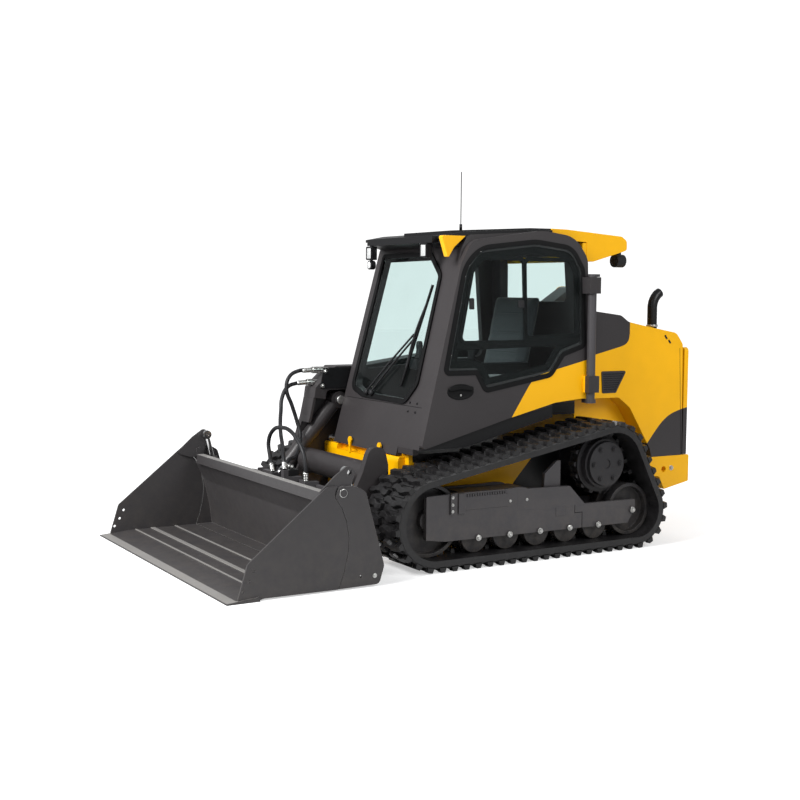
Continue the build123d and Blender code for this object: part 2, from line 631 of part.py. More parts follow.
def cab_roof():
    """Roof skin with the bar that carries the front lamps."""
    skin = prism([(40, 1990), (200, 1985), (200, 2003), (60, 2030, 30), (-450, 2056),
                  (-618, 2060), (-618, 2000)], "Y", -360, 636)
    raised = prism([(150, 1990), (150, 2034, 4), (-450, 2068), (-618, 2070), (-618, 2000)], "Y",
                   60, 620)
    bar = block(190, 234, -278, 532, 1960, 2003)
    return fuse(skin, raised, bar) - cab_solid() - lean_slab(DOOR_OUTLINE, 0, 80)


def roof_rear():
    """Rear roof overhang and the corner plate above the windscreen pillar."""
    cap = prism([(-618, 2000), (-618, 2070), (-740, 2068), (-1205, 2036, 20), (-1250, 2008, 30),
                 (-1252, 1946, 20), (-1218, 1934, 20), (-965, 1864), (-906, 1864),
                 (-906, 1990)], "Y", -330, 632)
    plate = prism([(184, 1861, 8), (140, 1930, 60), (56, 2002), (232, 2002, 12)], "Y", 600, 640)
    corner = plate - lean_slab(DOOR_OUTLINE, -5, 80) - visor() - cab_roof()
    return fuse(cap - cab_solid(), corner)


def rear_light():
    """Lamp below the roof overhang."""
    case = rod_x(548, 1876, 44, -1285, -1212)
    stem = block(-1262, -1228, 534, 562, 1900, 1960)
    return fuse(case, stem - roof_rear())


def work_lights():
    """Two square lamps below the roof bar and a small round one under the right lamp."""
    squares = [block(196, 236, y0, y1, z, z + 90) for y0, y1, z in ((-286, -210, 1866), (398, 476, 1869))]
    stems = [block(205, 225, y - 8, y + 8, z, 1960) for y, z in ((-248, 1955), (437, 1958))]
    small = rod_x(-246, 1832, 30, 200, 236)
    neck = block(210, 226, -252, -240, 1860, 1868)
    return fuse(*squares, *stems, small, neck)


def visor():
    """Inner header above the windscreen."""
    return prism([(60, 1935), (70, 1984), (188, 1984), (188, 1960), (90, 1935)], "Y",
                 -330, 600) - cab_solid()


def antenna():
    """Mast and foot on the roof."""
    x, y = 67, 600
    return fuse(rod_z(x, y, 3, 2030, 2395), rod_z(x, y, 9, 2020, 2075)) - cab_roof()


def wiper():
    """Arm and blade that lie on the windscreen."""
    def on_glass(y, z, off):
        return (cab_front(z) + off, y, z)
    arm = rod_between(on_glass(210, 1000, 24), on_glass(415, 1400, 24), 7)
    hub = rod_between(on_glass(210, 1000, 10.6), on_glass(210, 1000, 34), 16)
    link = rod_between(on_glass(415, 1400, 24), on_glass(415, 1400, 12), 6)
    blade = rod_between(on_glass(330, 1090, 14), on_glass(462, 1690, 14), 6)
    return fuse(arm, hub, link, blade)


def seat():
    cushion = block(-620, -180, -110, 370, 1000, 1110)
    base = block(-600, -220, -60, 320, 930, 1001)
    back = prism([(-560, 1100), (-690, 1640, 40), (-780, 1640, 40), (-680, 1100)], "Y", -110, 370)
    return fuse(cushion, base, back)


def consoles():
    pods = [block(-560, -80, y0, y1, 1130, 1200) for y0, y1 in ((-230, -140), (400, 490))]
    legs = [block(-560, -420, y0, y1, 930, 1131) for y0, y1 in ((-225, -145), (405, 485))]
    sticks = [rod_z(-130, y, 16, 1200, 1320) for y in (-185, 445)]
    return fuse(*pods, *legs, *sticks)


# ---------------------------------------------------------------- rear body

BODY = 660
BODY_RIGHT = -340
BODY_WALL = 25
HOOD_LINE = ((-1190, 1512, 60), (-1260, 1467, 60), (-1400, 1440), (-1690, 1390, 60),
             (-1752, 1312, 40))


def rear_body():
    """Hollow engine cover with fender flares over the rear of the tracks."""
    top = [(-905, 1546, 20), *HOOD_LINE]
    middle = prism([(-905, DECK_Z), *top, (BODY_REAR, 540), (CHASSIS_REAR, 540),
                    (CHASSIS_REAR, DECK_Z)], "Y", BODY_RIGHT, 534)
    arch = [(-1486, 540), (-1468, 600), (-1282, 888, 60), (-1184, 960, 40)]
    flare = prism([(-905, 960), *top, (BODY_REAR, 540), *arch], "Y", 534, BODY)
    low_top = [(-930, 1520), (-1184, 1488), (-1255, 1442), (-1395, 1415), (-1670, 1370),
               (-1735, 1290), (BODY_REAR - 1, 1290)]
    bay = prism([(-930, DECK_Z - 1), *low_top, (BODY_REAR - 1, 539), (CHASSIS_REAR, 539),
                 (CHASSIS_REAR, DECK_Z - 1)], "Y", BODY_RIGHT + BODY_WALL, 510)
    pocket = prism([(-930, 985), *low_top, (BODY_REAR - 1, 539), (-1512, 539), (-1300, 905), (-1190, 985)],
                   "Y", 509, BODY - BODY_WALL)
    wing = prism([(-905, 960), (-905, 985), (BODY_REAR, 985), (BODY_REAR, 540), *arch], "Y", -BODY, -585)
    sill = prism([(-610, 955), (-905, 955), (-905, 985), (-610, 985)], "Y", 550, BODY)
    return fuse(middle, flare, sill) - bay - pocket, wing


def bumper():
    side = [(CHASSIS_REAR, 540), (-1832, 540, 10), (-1832, 353, 10), (-1608, 310), (-1560, 400),
            (CHASSIS_REAR, 420)]
    body = prism(side, "Y", -BODY, BODY)
    return body - rod_y(-1601, 449, 20, BODY - 60, BODY + 1) - rod_y(-1601, 449, 20, -BODY - 1,
                                                                     -BODY + 60)


def exhaust():
    """Pipe that rises from the hood and bends to the rear."""
    x, y, r, bend = -1654, 450, 34, 120
    pipe = rod_z(x, y, r, 1400, 1560)
    mouth = revolve(Plane((x, y, 1560)) * Circle(r), Axis((x - bend, y, 1560), (0, -1, 0)), 62)
    base = rod_z(x, y, 60, 1370, 1410)
    hood = prism([(-1400, 1300), (-1400, 1440), (-1690, 1390), (-1772, 1300)], "Y", 300, 600)
    return fuse(fuse(base, pipe) - hood, Part() + mouth)


def engine():
    return block(-1430, -1000, -240, 380, DECK_Z, 1240)


def rear_door():
    """Upright door behind the engine bay with two hinge knuckles on its right edge."""
    panel = prism([(BODY_RIGHT, 545), (BODY, 545), (BODY, 1290, 30), (BODY_RIGHT, 1290, 30)], "X",
                  DOOR_PIN[0], BODY_REAR - 6)
    x, y = DOOR_PIN
    for low, high in KNUCKLES:
        panel = panel - block(x - 40, x + 60, y - 5, y + 24, low - 22, high + 22)
        panel = fuse(panel, block(x, x + 12, y, y + 26, low, high), rod_z(x, y, 14, low, high))
        panel = panel - rod_z(x, y, 8, low - 1, high + 1)
    return panel


# ---------------------------------------------------------------- build

def build():
    left_frame = track_frame()
    save(belt(), "track_left")
    save(mirror_y(belt()), "track_right")
    save(sprocket(), "sprocket_left")
    save(mirror_y(sprocket()), "sprocket_right")
    wheels = rollers()
    save(wheels, "rollers_left")
    save(mirror_y(wheels), "rollers_right")
    save(left_frame, "track_frame_left")
    save(mirror_y(left_frame), "track_frame_right")
    save(chassis_frame(), "chassis_frame")
    save(tower(), "boom_tower")
    save(cab_shell(), "cab_shell")
    save(glass_front(), "windscreen")
    save(glass_rest(), "cab_glass")
    save(cab_roof(), "cab_roof")
    save(roof_rear(), "roof_rear")
    save(visor(), "visor")
    save(antenna(), "antenna")
    save(wiper(), "wiper")
    save(work_lights(), "work_lights")
    save(rear_light(), "rear_light")
    save(seat(), "seat")
    save(consoles(), "consoles")
    save(door_post(), "door_post")
    cover, wing = rear_body()
    save(fuse(cover, wing), "rear_body")
    save(bumper(), "bumper")
    save(exhaust(), "exhaust")
    save(engine(), "engine")
    save(door_frame(), "door_frame")
    save(door_glass(), "door_glass")
    save(rear_door(), "rear_door")
    save(boom_arm(), "boom_arm")
    save(boom_foot(), "boom_foot")
    save(knee_cover(), "knee_cover")
    save(couplers(), "couplers")
    save(fuse(pipe(UPPER_HOSE, HOSE_R, (1, 0, 0)), pipe(LOWER_HOSE, HOSE_R, (1, 0, 0))), "supply_hoses")
    save(pipe(ARCH_HOSE, HOSE_R, (0, 0, 1)), "bucket_hose")
    barrel, rod = cylinder(LIFT_FOOT, LIFT_EYE, LIFT_Y, 45, 24, 590, 540, 40, 100, 44, 100)
    save(barrel - rod_y(*LIFT_FOOT, 21, -700, 0), "lift_barrel")
    save(rod, "lift_rod")
    barrel, rod = cylinder(TILT_HEAD, TILT_EYE, CYL_Y, 50, 25, 570, 560, 38, 56, 56, 98)
    save(barrel - rod_y(*TILT_HEAD, 22, -700, 0), "tilt_barrel")
    save(rod, "tilt_rod")
    save(quick_hitch(), "quick_hitch")
    save(bucket_back(), "bucket_back")
    save(clam(), "clam")
    barrel, rod = cylinder(CLAM_FOOT, CLAM_EYE, CLAM_CYL_Y, 32, 17, 450, 330, 30, 40, 34, 40)
    barrel = barrel - rod_y(*CLAM_FOOT, 15, 0, HALF)
    save(fuse(barrel, mirror_y(barrel)), "clam_barrels")
    save(fuse(rod, mirror_y(rod)), "clam_rods")


build()
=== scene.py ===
"""Looks of the compact track loader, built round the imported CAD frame. Metres, +X to the bucket."""

from math import atan2, cos, hypot, pi, radians, sin, sqrt

import bmesh
import bpy
from mathutils import Matrix, Vector

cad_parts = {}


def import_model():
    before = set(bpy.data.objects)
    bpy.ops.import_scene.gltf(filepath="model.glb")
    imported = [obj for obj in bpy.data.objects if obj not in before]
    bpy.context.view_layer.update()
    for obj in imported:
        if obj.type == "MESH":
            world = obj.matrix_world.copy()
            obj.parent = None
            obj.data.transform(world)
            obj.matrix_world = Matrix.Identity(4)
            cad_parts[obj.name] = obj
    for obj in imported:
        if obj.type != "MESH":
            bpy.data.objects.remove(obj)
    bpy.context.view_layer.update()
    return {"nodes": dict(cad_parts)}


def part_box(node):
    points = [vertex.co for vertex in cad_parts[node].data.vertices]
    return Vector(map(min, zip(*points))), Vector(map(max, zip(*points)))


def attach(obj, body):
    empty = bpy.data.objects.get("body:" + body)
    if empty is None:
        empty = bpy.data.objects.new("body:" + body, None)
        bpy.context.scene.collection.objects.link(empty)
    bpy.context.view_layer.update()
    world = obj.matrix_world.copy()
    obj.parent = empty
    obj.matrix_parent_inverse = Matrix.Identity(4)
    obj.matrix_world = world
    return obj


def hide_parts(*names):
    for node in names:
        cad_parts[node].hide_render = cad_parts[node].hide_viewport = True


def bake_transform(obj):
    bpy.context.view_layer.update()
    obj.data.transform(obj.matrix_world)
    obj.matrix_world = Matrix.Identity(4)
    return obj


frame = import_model()
NODES = frame["nodes"]
SCENE = bpy.context.scene


# ------------------------------------------------------------------ surfaces the details lie on

def front_x(z):
    """Cab's raked front face."""
    return 0.418 - 0.272 * (z - 0.7)


def left_y(z):
    """Outer face of the door, which leans in."""
    return 0.743 - 0.0454 * (z - 0.7)


def on_front(y, z, out=0.0):
    return Vector((front_x(z) + out, y, z))


def on_door(x, z, out=0.0):
    return Vector((x, left_y(z) + out, z))


BODY_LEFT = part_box("rear_body")[1].y


def on_body(x, z, out=0.0):
    return Vector((x, BODY_LEFT + out, z))


def at_y(y):
    """Upright plane facing +Y at y."""
    return lambda x, z, out=0.0: Vector((x, y + out, z))


def at_z(z):
    """Level plane facing up at z."""
    return lambda x, y, out=0.0: Vector((x, y, z + out))


def at_x(x):
    """Upright plane facing +X at x."""
    return lambda y, z, out=0.0: Vector((x + out, y, z))


# ------------------------------------------------------------------ materials

class Nodes:
    """Short way to write a node tree."""

    def __init__(self, name):
        self.material = bpy.data.materials.new(name)
        self.material.use_nodes = True
        self.tree = self.material.node_tree
        self.tree.nodes.clear()
        self.out = self.add("ShaderNodeOutputMaterial")
        coord = self.add("ShaderNodeTexCoord")
        self.coord = coord.outputs["Object"]
        split = self.add("ShaderNodeSeparateXYZ")
        self.wire(self.coord, split.inputs[0])
        self.x, self.y, self.z = split.outputs

    def add(self, kind, **values):
        node = self.tree.nodes.new(kind)
        for key, value in values.items():
            setattr(node, key, value)
        return node

    def wire(self, a, b):
        if isinstance(a, (int, float)):
            b.default_value = a
        elif isinstance(a, tuple):
            b.default_value = (*a, 1.0) if len(b.default_value) == 4 and len(a) == 3 else a
        else:
            self.tree.links.new(a, b)

    def math(self, operation, a, b=0.0, c=0.0, clamp=False):
        node = self.add("ShaderNodeMath", operation=operation, use_clamp=clamp)
        for value, socket in zip((a, b, c), node.inputs):
            self.wire(value, socket)
        return node.outputs[0]

    def mix(self, share, a, b):
        node = self.add("ShaderNodeMix", data_type="RGBA")
        self.wire(share, node.inputs["Factor"])
        self.wire(a, node.inputs[6])
        self.wire(b, node.inputs[7])
        return node.outputs[2]

    def noise(self, scale, detail=3.0, rough=0.5):
        node = self.add("ShaderNodeTexNoise")
        self.wire(self.coord, node.inputs["Vector"])
        node.inputs["Scale"].default_value = scale
        node.inputs["Detail"].default_value = detail
        node.inputs["Roughness"].default_value = rough
        return node.outputs["Fac"]

    def span(self, value, low, high, to_low=0.0, to_high=1.0):
        node = self.add("ShaderNodeMapRange")
        for socket, number in zip(node.inputs, (value, low, high, to_low, to_high)):
            self.wire(number, socket)
        return node.outputs[0]

    def bump(self, height, strength, distance):
        node = self.add("ShaderNodeBump")
        node.inputs["Strength"].default_value = strength
        node.inputs["Distance"].default_value = distance
        self.wire(height, node.inputs["Height"])
        return node.outputs[0]

    def principled(self, **inputs):
        node = self.add("ShaderNodeBsdfPrincipled")
        for key, value in inputs.items():
            self.wire(value, node.inputs[key.replace("_", " ")])
        self.wire(node.outputs[0], self.out.inputs[0])
        return node

    def inside(self, points, u=None, v=None, soft=0.02):
        """1 inside a convex outline given clockwise or counter-clockwise, with rounded corners."""
        u, v = u or self.x, v or self.z
        cx = sum(p[0] for p in points) / len(points)
        cz = sum(p[1] for p in points) / len(points)
        near = None
        for (ax, az), (bx, bz) in zip(points, points[1:] + points[:1]):
            nx, nz = az - bz, bx - ax
            size = hypot(nx, nz)
            nx, nz = nx / size, nz / size
            if (cx - ax) * nx + (cz - az) * nz < 0:
                nx, nz = -nx, -nz
            gap = self.math("MULTIPLY_ADD", u, nx, -(ax * nx + az * nz))
            gap = self.math("MULTIPLY_ADD", v, nz, gap)
            near = gap if near is None else self.math("SMOOTH_MIN", near, gap, soft)
        return self.span(near, -0.0006, 0.0006)


def srgb(r, g, b):
    """Linear colour of an sRGB one given in 0 to 255."""
    return tuple((c / 255 / 12.92) if c <= 10 else ((c / 255 + 0.055) / 1.055) ** 2.4
                 for c in (r, g, b))


YELLOW = srgb(243, 179, 0)
CHARCOAL = srgb(52, 49, 50)
BLACK = srgb(16, 16, 18)


def paint(name, colour, rough=0.38, coat=0.12, grain=0.0, dust=0.15, patches=(), patch_to_y=9.0):
    """Sprayed paint: orange peel, faint cloudiness, dust low down and patches of a second colour,
    which stop at patch_to_y."""
    n = Nodes(name)
    cloud = n.noise(3.0, 4.0)
    shade = n.mix(n.span(cloud, 0.3, 0.7), tuple(c * 0.93 for c in colour),
                  tuple(min(1, c * 1.05) for c in colour))
    for other, outline, soft in patches:
        share = n.math("MULTIPLY", n.inside(outline, soft=soft),
                       n.span(n.y, patch_to_y, patch_to_y + 0.001, 1.0, 0.0))
        shade = n.mix(share, shade, other)
    low = n.span(n.z, 0.55, 0.0)
    dirt = n.math("MULTIPLY", low, n.span(n.noise(14.0, 6.0, 0.65), 0.35, 0.75), clamp=True)
    shade = n.mix(n.math("MULTIPLY", dirt, dust), shade, srgb(128, 118, 104))
    gloss = n.span(n.noise(22.0, 5.0), 0.3, 0.7, rough - 0.02, rough + 0.04)
    peel = n.math("MULTIPLY_ADD", n.noise(900.0, 2.0), grain, n.noise(160.0, 2.0))
    n.principled(Base_Color=shade, Roughness=gloss, Coat_Weight=coat, Coat_Roughness=0.18,
                 Specular_IOR_Level=0.3,
                 Normal=n.bump(peel, 0.06 + grain * 0.2, 0.001))
    return n.material


def metal(name, colour, rough=0.32, brushed=60.0):
    n = Nodes(name)
    streak = n.noise(brushed, 6.0, 0.7)
    n.principled(Base_Color=n.mix(n.span(streak, 0.3, 0.7), tuple(c * 0.8 for c in colour), colour),
                 Metallic=1.0, Roughness=n.span(streak, 0.25, 0.75, rough - 0.1, rough + 0.12),
                 Normal=n.bump(streak, 0.08, 0.0006))
    return n.material


def rubber(name, colour, rough=0.62, scuff=0.35, shine=0.25):
    """Moulded rubber, greyer where it scuffs, with fine pores in its surface."""
    n = Nodes(name)
    fine, coarse = n.noise(420.0, 3.0), n.noise(18.0, 6.0, 0.7)
    worn = n.math("MULTIPLY", n.span(coarse, 0.48, 0.68), scuff, clamp=True)
    n.principled(Specular_IOR_Level=shine,
                 Base_Color=n.mix(worn, colour, tuple(c * 2.6 + 0.01 for c in colour)),
                 Roughness=n.span(coarse, 0.3, 0.7, rough - 0.12, rough + 0.1),
                 Normal=n.bump(n.math("ADD", n.math("MULTIPLY", fine, 0.35), coarse), 0.3, 0.002))
    return n.material


def glass(name, tint):
    """Tinted safety glass: it lets light through and mirrors more at a shallow angle."""
    n = Nodes(name)
    through, mirror = n.add("ShaderNodeBsdfTransparent"), n.add("ShaderNodeBsdfGlossy")
    ripple = n.span(n.noise(2.5, 2.0), 0.3, 0.7)
    n.wire(n.mix(ripple, tuple(c * 0.985 for c in tint), tint), through.inputs["Color"])
    mirror.inputs["Roughness"].default_value = 0.02
    fresnel = n.add("ShaderNodeFresnel")
    fresnel.inputs["IOR"].default_value = 1.42
    # only the face towards the viewer mirrors, as a ray isn't bent on its way through the pane
    facing = n.math("SUBTRACT", 1.0, n.add("ShaderNodeNewGeometry").outputs["Backfacing"])
    both = n.add("ShaderNodeMixShader")
    n.wire(n.math("MULTIPLY", n.math("MULTIPLY", fresnel.outputs[0], facing), 0.6), both.inputs[0])
    n.wire(through.outputs[0], both.inputs[1])
    n.wire(mirror.outputs[0], both.inputs[2])
    n.wire(both.outputs[0], n.out.inputs[0])
    return n.material


def cloth(name, colour):
    """Woven seat cover."""
    n = Nodes(name)
    warp = n.add("ShaderNodeTexWave", bands_direction="X")
    weft = n.add("ShaderNodeTexWave", bands_direction="Z")
    for wave in (warp, weft):
        n.wire(n.coord, wave.inputs["Vector"])
        wave.inputs["Scale"].default_value = 260.0
        wave.inputs["Distortion"].default_value = 0.6
    weave = n.math("MULTIPLY", warp.outputs["Fac"], weft.outputs["Fac"])
    n.principled(Base_Color=n.mix(weave, tuple(c * 0.7 for c in colour), tuple(c * 1.5 for c in colour)),
                 Roughness=0.9, Sheen_Weight=0.3, Normal=n.bump(weave, 0.4, 0.0015))
    return n.material


def lens(name, colour):
    """Ribbed lamp glass over a bright reflector."""
    n = Nodes(name)
    ribs = n.add("ShaderNodeTexWave", bands_direction="Y")
    n.wire(n.coord, ribs.inputs["Vector"])
    ribs.inputs["Scale"].default_value = 55.0
    n.principled(Base_Color=n.mix(ribs.outputs["Fac"], tuple(c * 0.75 for c in colour), colour),
                 Metallic=0.25, Roughness=0.12, Coat_Weight=1.0, Coat_Roughness=0.03,
                 Normal=n.bump(ribs.outputs["Fac"], 0.5, 0.003))
    return n.material


KNUCKLE_Y = 0.745
DOOR_SWEEP = [(-0.236, 0.86), (-0.405, 1.10), (-0.45, 1.132), (-0.95, 1.245), (-1.1, 0.7)]
MOTOR_PATCH = [(-0.39, 0.15), (-0.39, 0.40), (-0.72, 0.75), (-1.50, 0.75), (-1.50, 0.15)]
STEP_PATCH = [(0.36, 0.600), (0.36, 1.0), (-0.95, 1.0), (-0.95, 0.640)]
SILL_PATCH = [(0.386, 0.60), (-0.95, 0.60), (-0.95, 0.93), (-0.60, 0.93), (0.386, 0.735)]
HOOD_PATCH = [(-0.90, 1.60), (-1.268, 1.60), (-1.268, 1.32), (-0.90, 1.235)]
TAIL_PATCH = [(-1.36, 0.54), (-1.61, 0.832), (-1.90, 0.892), (-1.90, 0.50)]

MATERIALS = {
    "yellow": paint("yellow", YELLOW),
    "chassis_paint": paint("chassis_paint", YELLOW,
                           patches=((BLACK, MOTOR_PATCH, 0.05), (BLACK, STEP_PATCH, 0.0))),
    "yellow_body": paint("yellow_body", YELLOW,
                         patches=((CHARCOAL, HOOD_PATCH, 0.1), (CHARCOAL, TAIL_PATCH, 0.12))),
    "door_paint": paint("door_paint", CHARCOAL, rough=0.42, patches=((YELLOW, DOOR_SWEEP, 0.03),),
                        patch_to_y=KNUCKLE_Y),
    "cab_paint": paint("cab_paint", CHARCOAL, rough=0.42, patches=((BLACK, SILL_PATCH, 0.0),)),
    "charcoal": paint("charcoal", CHARCOAL, rough=0.42),
    "frame_paint": paint("frame_paint", srgb(66, 64, 66), rough=0.48, dust=0.2),
    "steel_paint": paint("steel_paint", srgb(58, 56, 57), rough=0.42, dust=0.1, grain=0.4),
    # lighter paint for bevel faces: partly edge wear, partly a painted highlight along every edge
    "edge_wear_and_highlight": paint("edge_wear_and_highlight", srgb(126, 124, 123), rough=0.4, grain=0.4),
    "wear_steel": paint("wear_steel", srgb(128, 126, 124), rough=0.45, grain=0.5),
    "black_paint": paint("black_paint", BLACK, rough=0.4),
    "cast": paint("cast", srgb(40, 39, 41), rough=0.55, grain=1.2, dust=0.25),
    "plastic": paint("plastic", srgb(26, 26, 28), rough=0.55, coat=0.0, grain=1.5),
    "trim": paint("trim", srgb(96, 98, 98), rough=0.7, coat=0.0, grain=1.5),
    "tread": rubber("tread", srgb(21, 20, 21), rough=0.42, shine=0.5),
    "seal": rubber("seal", srgb(12, 12, 13), scuff=0.1, shine=0.15),
    "hose": rubber("hose", srgb(30, 30, 32), rough=0.45, scuff=0.15),
    "zinc": metal("zinc", (0.62, 0.62, 0.6)),
    "chrome": metal("chrome", (0.8, 0.8, 0.8), rough=0.16, brushed=25.0),
    "glass": glass("glass", (0.885, 0.936, 0.93)),
    "lens": lens("lens", (0.85, 0.86, 0.86)),
    "amber": lens("amber", (0.7, 0.03, 0.02)),
    "cloth": cloth("cloth", srgb(38, 41, 45)),
}

NODE_LOOKS = {
    "chassis_frame": "chassis_paint", "boom_tower": "yellow", "rear_body": "yellow_body",
    "bumper": "yellow", "roof_rear": "yellow", "rear_door": "yellow_body",
    "cab_shell": "cab_paint", "door_frame": "door_paint", "cab_roof": "black_paint",
    "visor": "black_paint", "door_post": "frame_paint", "windscreen": "glass",
    "cab_glass": "glass", "door_glass": "glass", "work_lights": "plastic",
    "rear_light": "plastic", "consoles": "plastic", "exhaust": "black_paint",
    "engine": "cast", "track_frame_left": "frame_paint", "track_frame_right": "frame_paint",
    "rollers_left": "cast", "rollers_right": "cast", "sprocket_left": "cast",
    "sprocket_right": "cast", "boom_arm": "charcoal", "boom_foot": "charcoal",
    "lift_barrel": "charcoal", "tilt_barrel": "charcoal", "clam_barrels": "charcoal",
    "lift_rod": "chrome", "tilt_rod": "chrome", "clam_rods": "chrome",
    "quick_hitch": "frame_paint", "bucket_back": "steel_paint", "clam": "steel_paint",
    "knee_cover": "black_paint", "couplers": "zinc", "antenna": "plastic",
    "bucket_hose": "hose", "seat": "cloth", "track_left": "tread", "track_right": "tread",
    "supply_hoses": "hose", "wiper": "plastic",
}
BEVEL = {"windscreen": 0.001, "cab_glass": 0.001, "door_glass": 0.001, "clam": 0.0025,
         "bucket_back": 0.0025, "antenna": 0, "bucket_hose": 0, "supply_hoses": 0,
         "cab_shell": 0.006, "door_frame": 0.006, "rear_body": 0.008, "roof_rear": 0.008,
         "cab_roof": 0.006, "rear_door": 0.008}
# nodes whose bevel faces take the lighter edge paint, part wear and part painted highlight
EDGE_WEAR_AND_HIGHLIGHT = {"clam": "edge_wear_and_highlight", "bucket_back": "edge_wear_and_highlight", "track_frame_left": "edge_wear_and_highlight",
         "track_frame_right": "edge_wear_and_highlight"}


def dress(node, look):
    """Gives a CAD node its material, clean faces and softly broken edges."""
    obj = NODES[node]
    obj.data.materials.clear()
    obj.data.materials.append(MATERIALS[look])
    obj.data.polygons.foreach_set("use_smooth", [True] * len(obj.data.polygons))
    weld = obj.modifiers.new("weld", "WELD")
    weld.merge_threshold = 0.00005
    flat = obj.modifiers.new("flat", "DECIMATE")
    flat.decimate_type = "DISSOLVE"
    flat.angle_limit = radians(0.6)
    width = BEVEL.get(node, 0.004)
    if width:
        bevel = obj.modifiers.new("bevel", "BEVEL")
        bevel.width = width
        bevel.segments = 2
        bevel.limit_method = "ANGLE"
        bevel.angle_limit = radians(32)
        bevel.miter_outer = "MITER_ARC"
        if node in EDGE_WEAR_AND_HIGHLIGHT:
            obj.data.materials.append(MATERIALS[EDGE_WEAR_AND_HIGHLIGHT[node]])
            bevel.material = 1
    normals = obj.modifiers.new("normals", "WEIGHTED_NORMAL")
    normals.keep_sharp = False
    normals.weight = 80


for node_name, look_name in NODE_LOOKS.items():
    dress(node_name, look_name)


# ------------------------------------------------------------------ mesh builders

def make(name, bm, look, body, smooth=True, bevel=0.0):
    bmesh.ops.recalc_face_normals(bm, faces=bm.faces)
    mesh = bpy.data.meshes.new(name)
    bm.to_mesh(mesh)
    bm.free()
    mesh.polygons.foreach_set("use_smooth", [smooth] * len(mesh.polygons))
    obj = bpy.data.objects.new(name, mesh)
    SCENE.collection.objects.link(obj)
    mesh.materials.append(MATERIALS[look])
    if bevel:
        mod = obj.modifiers.new("bevel", "BEVEL")
        mod.width, mod.segments, mod.limit_method = bevel, 2, "ANGLE"
        mod.angle_limit = radians(32)
    if smooth:
        mod = obj.modifiers.new("normals", "WEIGHTED_NORMAL")
        mod.weight = 80
    if body:
        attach(obj, body)
    return obj


def rounded(points, steps=6):
    """Closed outline whose corners (u, v, radius) are turned into arcs."""
    out = []
    count = len(points)
    for i, point in enumerate(points):
        here = Vector(point[:2])
        radius = point[2] if len(point) > 2 else 0
        if not radius:
            out.append(here)
            continue
        before = (Vector(points[i - 1][:2]) - here).normalized()
        after = (Vector(points[(i + 1) % count][:2]) - here).normalized()
        half = before.angle(after) / 2
        reach = radius / max(1e-6, sin(half) / cos(half))
        centre = here + (before + after).normalized() * (radius / sin(half))
        a, b = here + before * reach - centre, here + after * reach - centre
        for k in range(steps + 1):
            t = k / steps
            out.append(centre + (a * (1 - t) + b * t).normalized() * radius)
    return out


def grow(points, by):
    """Outline moved outwards by a distance, corner radii kept in step."""
    area = sum(a[0] * b[1] - b[0] * a[1] for a, b in zip(points, points[1:] + points[:1]))
    side = 1 if area > 0 else -1
    out = []
    for i, point in enumerate(points):
        here = Vector(point[:2])
        before = (here - Vector(points[i - 1][:2])).normalized()
        after = (Vector(points[(i + 1) % len(points)][:2]) - here).normalized()
        n1 = Vector((before.y, -before.x)) * side
        n2 = Vector((after.y, -after.x)) * side
        bis = (n1 + n2).normalized()
        moved = here + bis * (by / max(0.25, bis.dot(n1)))
        turn = (before.x * after.y - before.y * after.x) * side
        radius = point[2] if len(point) > 2 else 0
        if radius:
            radius = max(0.001, radius + (by if turn > 0 else -by))
        out.append((moved.x, moved.y, radius))
    return out


def add_plate(bm, points, plane, low, high, steps=6):
    outline = rounded(points, steps)
    bottom = [bm.verts.new(plane(p.x, p.y, low)) for p in outline]
    top = [bm.verts.new(plane(p.x, p.y, high)) for p in outline]
    bm.faces.new(bottom)
    bm.faces.new(list(reversed(top)))
    for i in range(len(outline)):
        j = (i + 1) % len(outline)
        bm.faces.new((bottom[i], top[i], top[j], bottom[j]))


def add_ring(bm, outer, inner, plane, low, high, steps=6):
    """Flat frame between two outlines with the same corners."""
    loops = [[bm.verts.new(plane(p.x, p.y, w)) for p in rounded(line, steps)]
             for line, w in ((outer, low), (outer, high), (inner, high), (inner, low))]
    for a, b in zip(loops, loops[1:] + loops[:1]):
        for i in range(len(a)):
            j = (i + 1) % len(a)
            bm.faces.new((a[i], b[i], b[j], a[j]))


def plates(name, look, body, plane, shapes, low, high, bevel=0.0):
    bm = bmesh.new()
    for points in shapes:
        add_plate(bm, points, plane, low, high)
    return make(name, bm, look, body, bevel=bevel)


def box_points(u0, u1, v0, v1, r=0.0):
    return [(u0, v0, r), (u1, v0, r), (u1, v1, r), (u0, v1, r)]


def bridge(bm, rows):
    """Faces between each closed row of points and the next."""
    for a, b in zip(rows, rows[1:]):
        for k in range(len(a)):
            m = (k + 1) % len(a)
            bm.faces.new((a[k], a[m], b[m], b[k]))


def add_turned(bm, profile, origin, axis, steps=24, spin=0.0):
    """Solid of revolution: profile of (radius, height) along axis."""
    axis = Vector(axis).normalized()
    side = axis.orthogonal().normalized()
    other = axis.cross(side)
    rows = []
    for radius, height in profile:
        ring = []
        for k in range(steps):
            a = 2 * pi * k / steps + spin
            ring.append(bm.verts.new(Vector(origin) + axis * height
                                     + (side * cos(a) + other * sin(a)) * max(radius, 1e-5)))
        rows.append(ring)
    bridge(bm, rows)
    bm.faces.new(list(reversed(rows[0])))
    bm.faces.new(rows[-1])


def turned(name, look, body, profile, origin, axis, steps=32):
    bm = bmesh.new()
    add_turned(bm, profile, origin, axis, steps)
    return make(name, bm, look, body)


def bolts(name, body, places, axis, r, look="zinc"):
    """Hexagon bolt heads with washers at the places."""
    bm = bmesh.new()
    for k, place in enumerate(places):
        add_turned(bm, [(r * 1.35, -0.001), (r * 1.35, r * 0.22), (r * 1.25, r * 0.3)], place, axis, 20)
        add_turned(bm, [(r, r * 0.25), (r, r * 0.85), (r * 0.84, r)], place, axis, 6, spin=0.4 * k)
        add_turned(bm, [(r * 0.6, r * 0.95), (r * 0.45, r * 1.12)], place, axis, 12)
    return make(name, bm, look, body, smooth=False)


